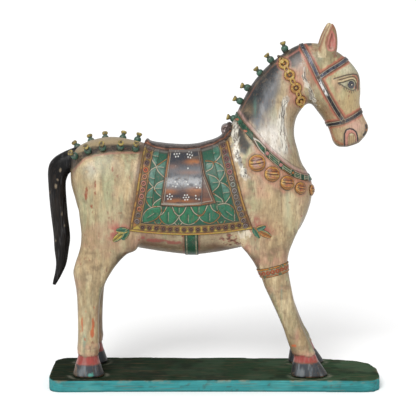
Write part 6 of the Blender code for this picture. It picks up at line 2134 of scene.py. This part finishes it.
tailLook = {
    "rows": [((-0.316, 0.602), (-0.33, 0.545), 0.018), ((-0.341, 0.5955), (-0.346, 0.537), 0.023),
        ((-0.372, 0.583), (-0.3595, 0.529), 0.024), ((-0.4, 0.5655), (-0.3655, 0.519), 0.024),
        ((-0.4125, 0.54), (-0.369, 0.505), 0.0235), ((-0.4125, 0.495), (-0.369, 0.48), 0.0225),
        ((-0.4085, 0.435), (-0.3655, 0.425), 0.021), ((-0.402, 0.375), (-0.3605, 0.37), 0.0195),
        ((-0.4005, 0.34), (-0.3645, 0.336), 0.0175), ((-0.397, 0.305), (-0.371, 0.3), 0.014),
        ((-0.3995, 0.28), (-0.382, 0.275), 0.0095), ((-0.404, 0.261), (-0.392, 0.257), 0.0055),
        ((-0.4065, 0.248), (-0.399, 0.246), 0.003)],
    "strands": 22,
    "grooveDepth": 0.0011,
    "black": (0.012, 0.012, 0.013),
    "brown": (0.05, 0.042, 0.036),
    "chips": [(-0.38, 0.54, 0.0035), (-0.392, 0.5, 0.004), (-0.387, 0.516, 0.0025), (-0.378, 0.43, 0.0022),
        (-0.396, 0.362, 0.0022), (-0.408, 0.482, 0.002), (-0.372, 0.4, 0.0018)],
    "chipColour": (0.4, 0.32, 0.22),
}


def makeTail():
    look = tailLook
    around = 96
    rows = smoothRows([(*a, *b, half) for a, b, half in look["rows"]], 13)
    rings = [sectionRing(row[:2], row[2:4], row[4], 0, around, 2.1) for row in rows]
    bm = bmesh.new()
    addRings(bm, rings)
    bmesh.ops.triangulate(bm, faces=[f for f in bm.faces if len(f.verts) > 4])
    made = fromBmesh("tail_finish", bm)
    points, normals = pointsOf(made.data), normalsOf(made.data)
    turn = np.tile(np.arange(around) / around * 2 * np.pi, len(rings))
    along = np.repeat(np.arange(len(rings)) / len(rings), around)
    n1 = mottle(points * [1, 1, 0.25], 0.012, 81)
    wave = turn + 0.25 * np.sin(along * 9) + (n1 - 0.5) * 0.5
    strand = np.abs(np.sin(wave * look["strands"] / 2))
    fadeIn = ramp(0.18, 0.32, along) * ramp(1.0, 0.93, along)
    groove = (1 - strand) ** 2.2
    points = points - normals * (groove * look["grooveDepth"] * fadeIn + 0.0005 * (n1 - 0.5))[:, None]
    movePoints(made.data, points)
    rgb = coat(look["black"], points)
    wash(rgb, look["brown"], ramp(0.5, 0.72, mottle(points * [1, 1, 0.3], 0.01, 82)) * 0.6)
    # grey streaks along the tail: painted highlights
    wash(rgb, (0.105, 0.105, 0.11), ramp(0.58, 0.74, mottle(points * [1, 1, 0.12], 0.0048, 84)) * 0.6)
    wash(rgb, (0.01, 0.009, 0.009), groove * fadeIn * 0.7)
    flat = flatOf(points)
    for x, z, size in look["chips"]:
        d = np.hypot(flat[:, 0] - x, (flat[:, 1] - z) * 0.6) + (mottle(points, 0.003, 83) - 0.5) * 0.003
        wash(rgb, look["chipColour"], ramp(size, size * 0.55, d) * (points[:, 1] < 0.004) * 0.9)
    dress(made, "blackPaint", rgb, groove * fadeIn * 0.3)
    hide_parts("tail")


makeTail()
print("tail carved")

# the plank underfoot
plankLook = {
    "length": 0.826,
    "depth": 0.228,
    "thickness": 0.03,
    "voxel": 0.0037,
    "hooves": [(-0.314, 0.046), (0.237, 0.05)],  # x and reach of the worn ring round each pair
    "top": (0.016, 0.034, 0.017),
    "topPale": (0.032, 0.055, 0.032),
    "stain": (0.055, 0.034, 0.02),
    "side": (0.04, 0.215, 0.222),
    "sideDark": (0.015, 0.085, 0.085),
    "edgeWorn": (0.3, 0.22, 0.13),
    "hoofRing": (0.2, 0.19, 0.15),
}


def plankOutline():
    half, front = plankLook["length"] / 2, -plankLook["depth"] / 2
    outline = [(-half, -0.06), (-half + 0.004, front + 0.022), (-half + 0.014, front + 0.007),
        (-half + 0.032, front)]
    outline += [(x, front + 0.006 * (1 - (x / 0.39) ** 2)) for x in np.linspace(-0.3, 0.36, 12)]
    outline += [(half - 0.022, front + 0.004), (half - 0.004, front + 0.026), (half, -0.05),
        (half - 0.002, 0.01)]
    outline += [(half - 0.016, 0.052), (half - 0.042, 0.074), (0.33, 0.088), (0.285, 0.0965), (0.24, 0.1015)]
    outline += [(0.15, 0.106), (0.0, 0.109), (-0.15, 0.111), (-0.25, 0.1125), (-0.34, 0.114)]
    return outline + [(-half + 0.028, 0.1125), (-half + 0.01, 0.103), (-half + 0.002, 0.082), (-half, 0.05)]


def makePlank():
    look = plankLook
    bm = bmesh.new()
    foot = bm.faces.new([bm.verts.new((x, y, 0)) for x, y in plankOutline()])
    top = bmesh.ops.extrude_face_region(bm, geom=[foot])
    bmesh.ops.translate(bm, vec=(0, 0, look["thickness"]),
        verts=[v for v in top["geom"] if isinstance(v, bmesh.types.BMVert)])
    made = fused(fromBmesh("plinth_finish", bm), look["voxel"])
    relax(made.data, 1, 0.5)
    points, normals = pointsOf(made.data), normalsOf(made.data)
    low = points[:, 2] < 0.0045
    outlineGap = depthInside(points[:, :2], plankOutline())
    grainLong = mottle(points * [0.08, 1, 1], 0.006, 91)
    hewn = mottle(points * [0.6, 1.4, 1], 0.035, 92)
    sunk = 0.0009 * ramp(0.45, 0.75, hewn) + 0.0005 * ramp(0.4, 0.7, grainLong) + 0.0003
    rim = hump(outlineGap, 0.004) * ramp(0.018, 0.03, points[:, 2])
    chips = ramp(0.58, 0.72, mottle(points, 0.016, 93)) * rim
    sunk = sunk + 0.0016 * chips
    points = points - normals * (sunk * (~low))[:, None]
    points[:, 2] = np.clip(points[:, 2], 0.0, look["thickness"] - 0.0002)
    points[low & (points[:, 2] < 0.0025), 2] = 0.0
    movePoints(made.data, points)
    onTop = ramp(0.55, 0.85, normals[:, 2])
    n1, n2, n3 = mottle(points, 0.06, 94), mottle(points, 0.02, 95), mottle(points * [0.45, 1, 1], 0.006, 96)
    topInk = coat(look["top"], points)
    wash(topInk, look["topPale"], ramp(0.42, 0.64, n1) * 0.7)
    wash(topInk, look["stain"], ramp(0.56, 0.72, n2) * 0.16)
    topInk *= (0.5 + 1.0 * ramp(-0.32, 0.42, points[:, 0]))[:, None]
    wash(topInk, (0.012, 0.014, 0.01), ramp(0.55, 0.72, mottle(points, 0.035, 97)) * 0.5)
    sideInk = coat(look["side"], points)
    wash(sideInk, look["sideDark"], ramp(0.5, 0.74, mottle(points * [0.35, 1, 1], 0.02, 98)) * 0.45)
    wash(sideInk, (0.075, 0.26, 0.25), ramp(0.55, 0.72, n1) * 0.5)
    wash(sideInk, look["stain"], ramp(0.66, 0.76, n3) * 0.4)
    wash(sideInk, look["sideDark"], ramp(0.006, 0.001, points[:, 2]) * 0.6)
    rgb = sideInk * (1 - onTop[:, None]) + topInk * onTop[:, None]
    wash(rgb, look["edgeWorn"], rim * ramp(0.5, 0.62, n2 * 0.5 + n3 * 0.5) * (points[:, 1] < 0.02) * 0.42)
    wash(rgb, (0.42, 0.36, 0.27), chips * ramp(0.58, 0.7, n3) * 0.6)
    for x, size in look["hooves"]:
        for side in (-1, 1):
            d = np.hypot((points[:, 0] - x) / size, (points[:, 1] - side * horseShape["stance"]) / 0.038)
            wash(rgb, look["hoofRing"], onTop * hump(d - 1.02, 0.1) * ramp(0.4, 0.6, n3) * 0.55)
    dress(made, "plankPaint", rgb, chips * 0.25)
    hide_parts("plinth")


makePlank()
print("plank hewn")

# studio
studio = {
    "cameraPlace": (-0.0162, -3.5557, 1.0072),
    "cameraPitch": 81.0,
    "lens": 125.116,
    "background": (1.0, 1.0, 1.0),
    "skyStrength": 0.72,
    "floorColour": (0.97, 0.97, 0.97),
    "keyTurn": (48.0, 0.0, -18.0),
    "keyStrength": 2.08,
    "keySoftness": 32.0,
    "softboxes": [  # place, size, watts
        ((-0.7, -3.0, 1.7), 0.9, 12.0),
    ],
}


def buildStudio():
    world = bpy.data.worlds.new("studioSky")
    scene.world = world
    world.use_nodes = True
    sky = world.node_tree.nodes["Background"]
    sky.inputs["Color"].default_value = (*studio["background"], 1)
    sky.inputs["Strength"].default_value = studio["skyStrength"]
    for i, (place, size, power) in enumerate(studio["softboxes"]):
        lamp = bpy.data.lights.new(f"softbox{i}", "AREA")
        lamp.shape = "SQUARE"
        lamp.size = size
        lamp.energy = power
        holder = bpy.data.objects.new(f"softbox{i}", lamp)
        scene.collection.objects.link(holder)
        holder.location = place
        aim = Vector((0, 0, 0.42)) - Vector(place)
        holder.rotation_euler = aim.to_track_quat("-Z", "Y").to_euler()
    key = bpy.data.lights.new("key", "SUN")
    key.energy = studio["keyStrength"]
    key.angle = math.radians(studio["keySoftness"])
    holder = bpy.data.objects.new("key", key)
    scene.collection.objects.link(holder)
    holder.rotation_euler = [math.radians(turn) for turn in studio["keyTurn"]]
    floor = fromArrays("studio_floor", [(-400, -60, 0), (400, -60, 0), (400, 700, 0), (-400, 700, 0)],
        [(0, 1, 2, 3)])
    paper = bpy.data.materials.new("palePaper")
    paper.use_nodes = True
    shader = paper.node_tree.nodes["Principled BSDF"]
    shader.inputs["Base Color"].default_value = (*studio["floorColour"], 1)
    shader.inputs["Roughness"].default_value = 0.9
    floor.data.materials.append(paper)
    camera = bpy.data.cameras.new("camera")
    holder = bpy.data.objects.new("camera", camera)
    scene.collection.objects.link(holder)
    holder.location = studio["cameraPlace"]
    holder.rotation_euler = (math.radians(studio["cameraPitch"]), 0, 0)
    camera.sensor_width = 36
    camera.lens = studio["lens"]
    camera.clip_end = 2000
    scene.camera = holder
    scene.view_settings.view_transform = "Standard"


buildStudio()
print("done")
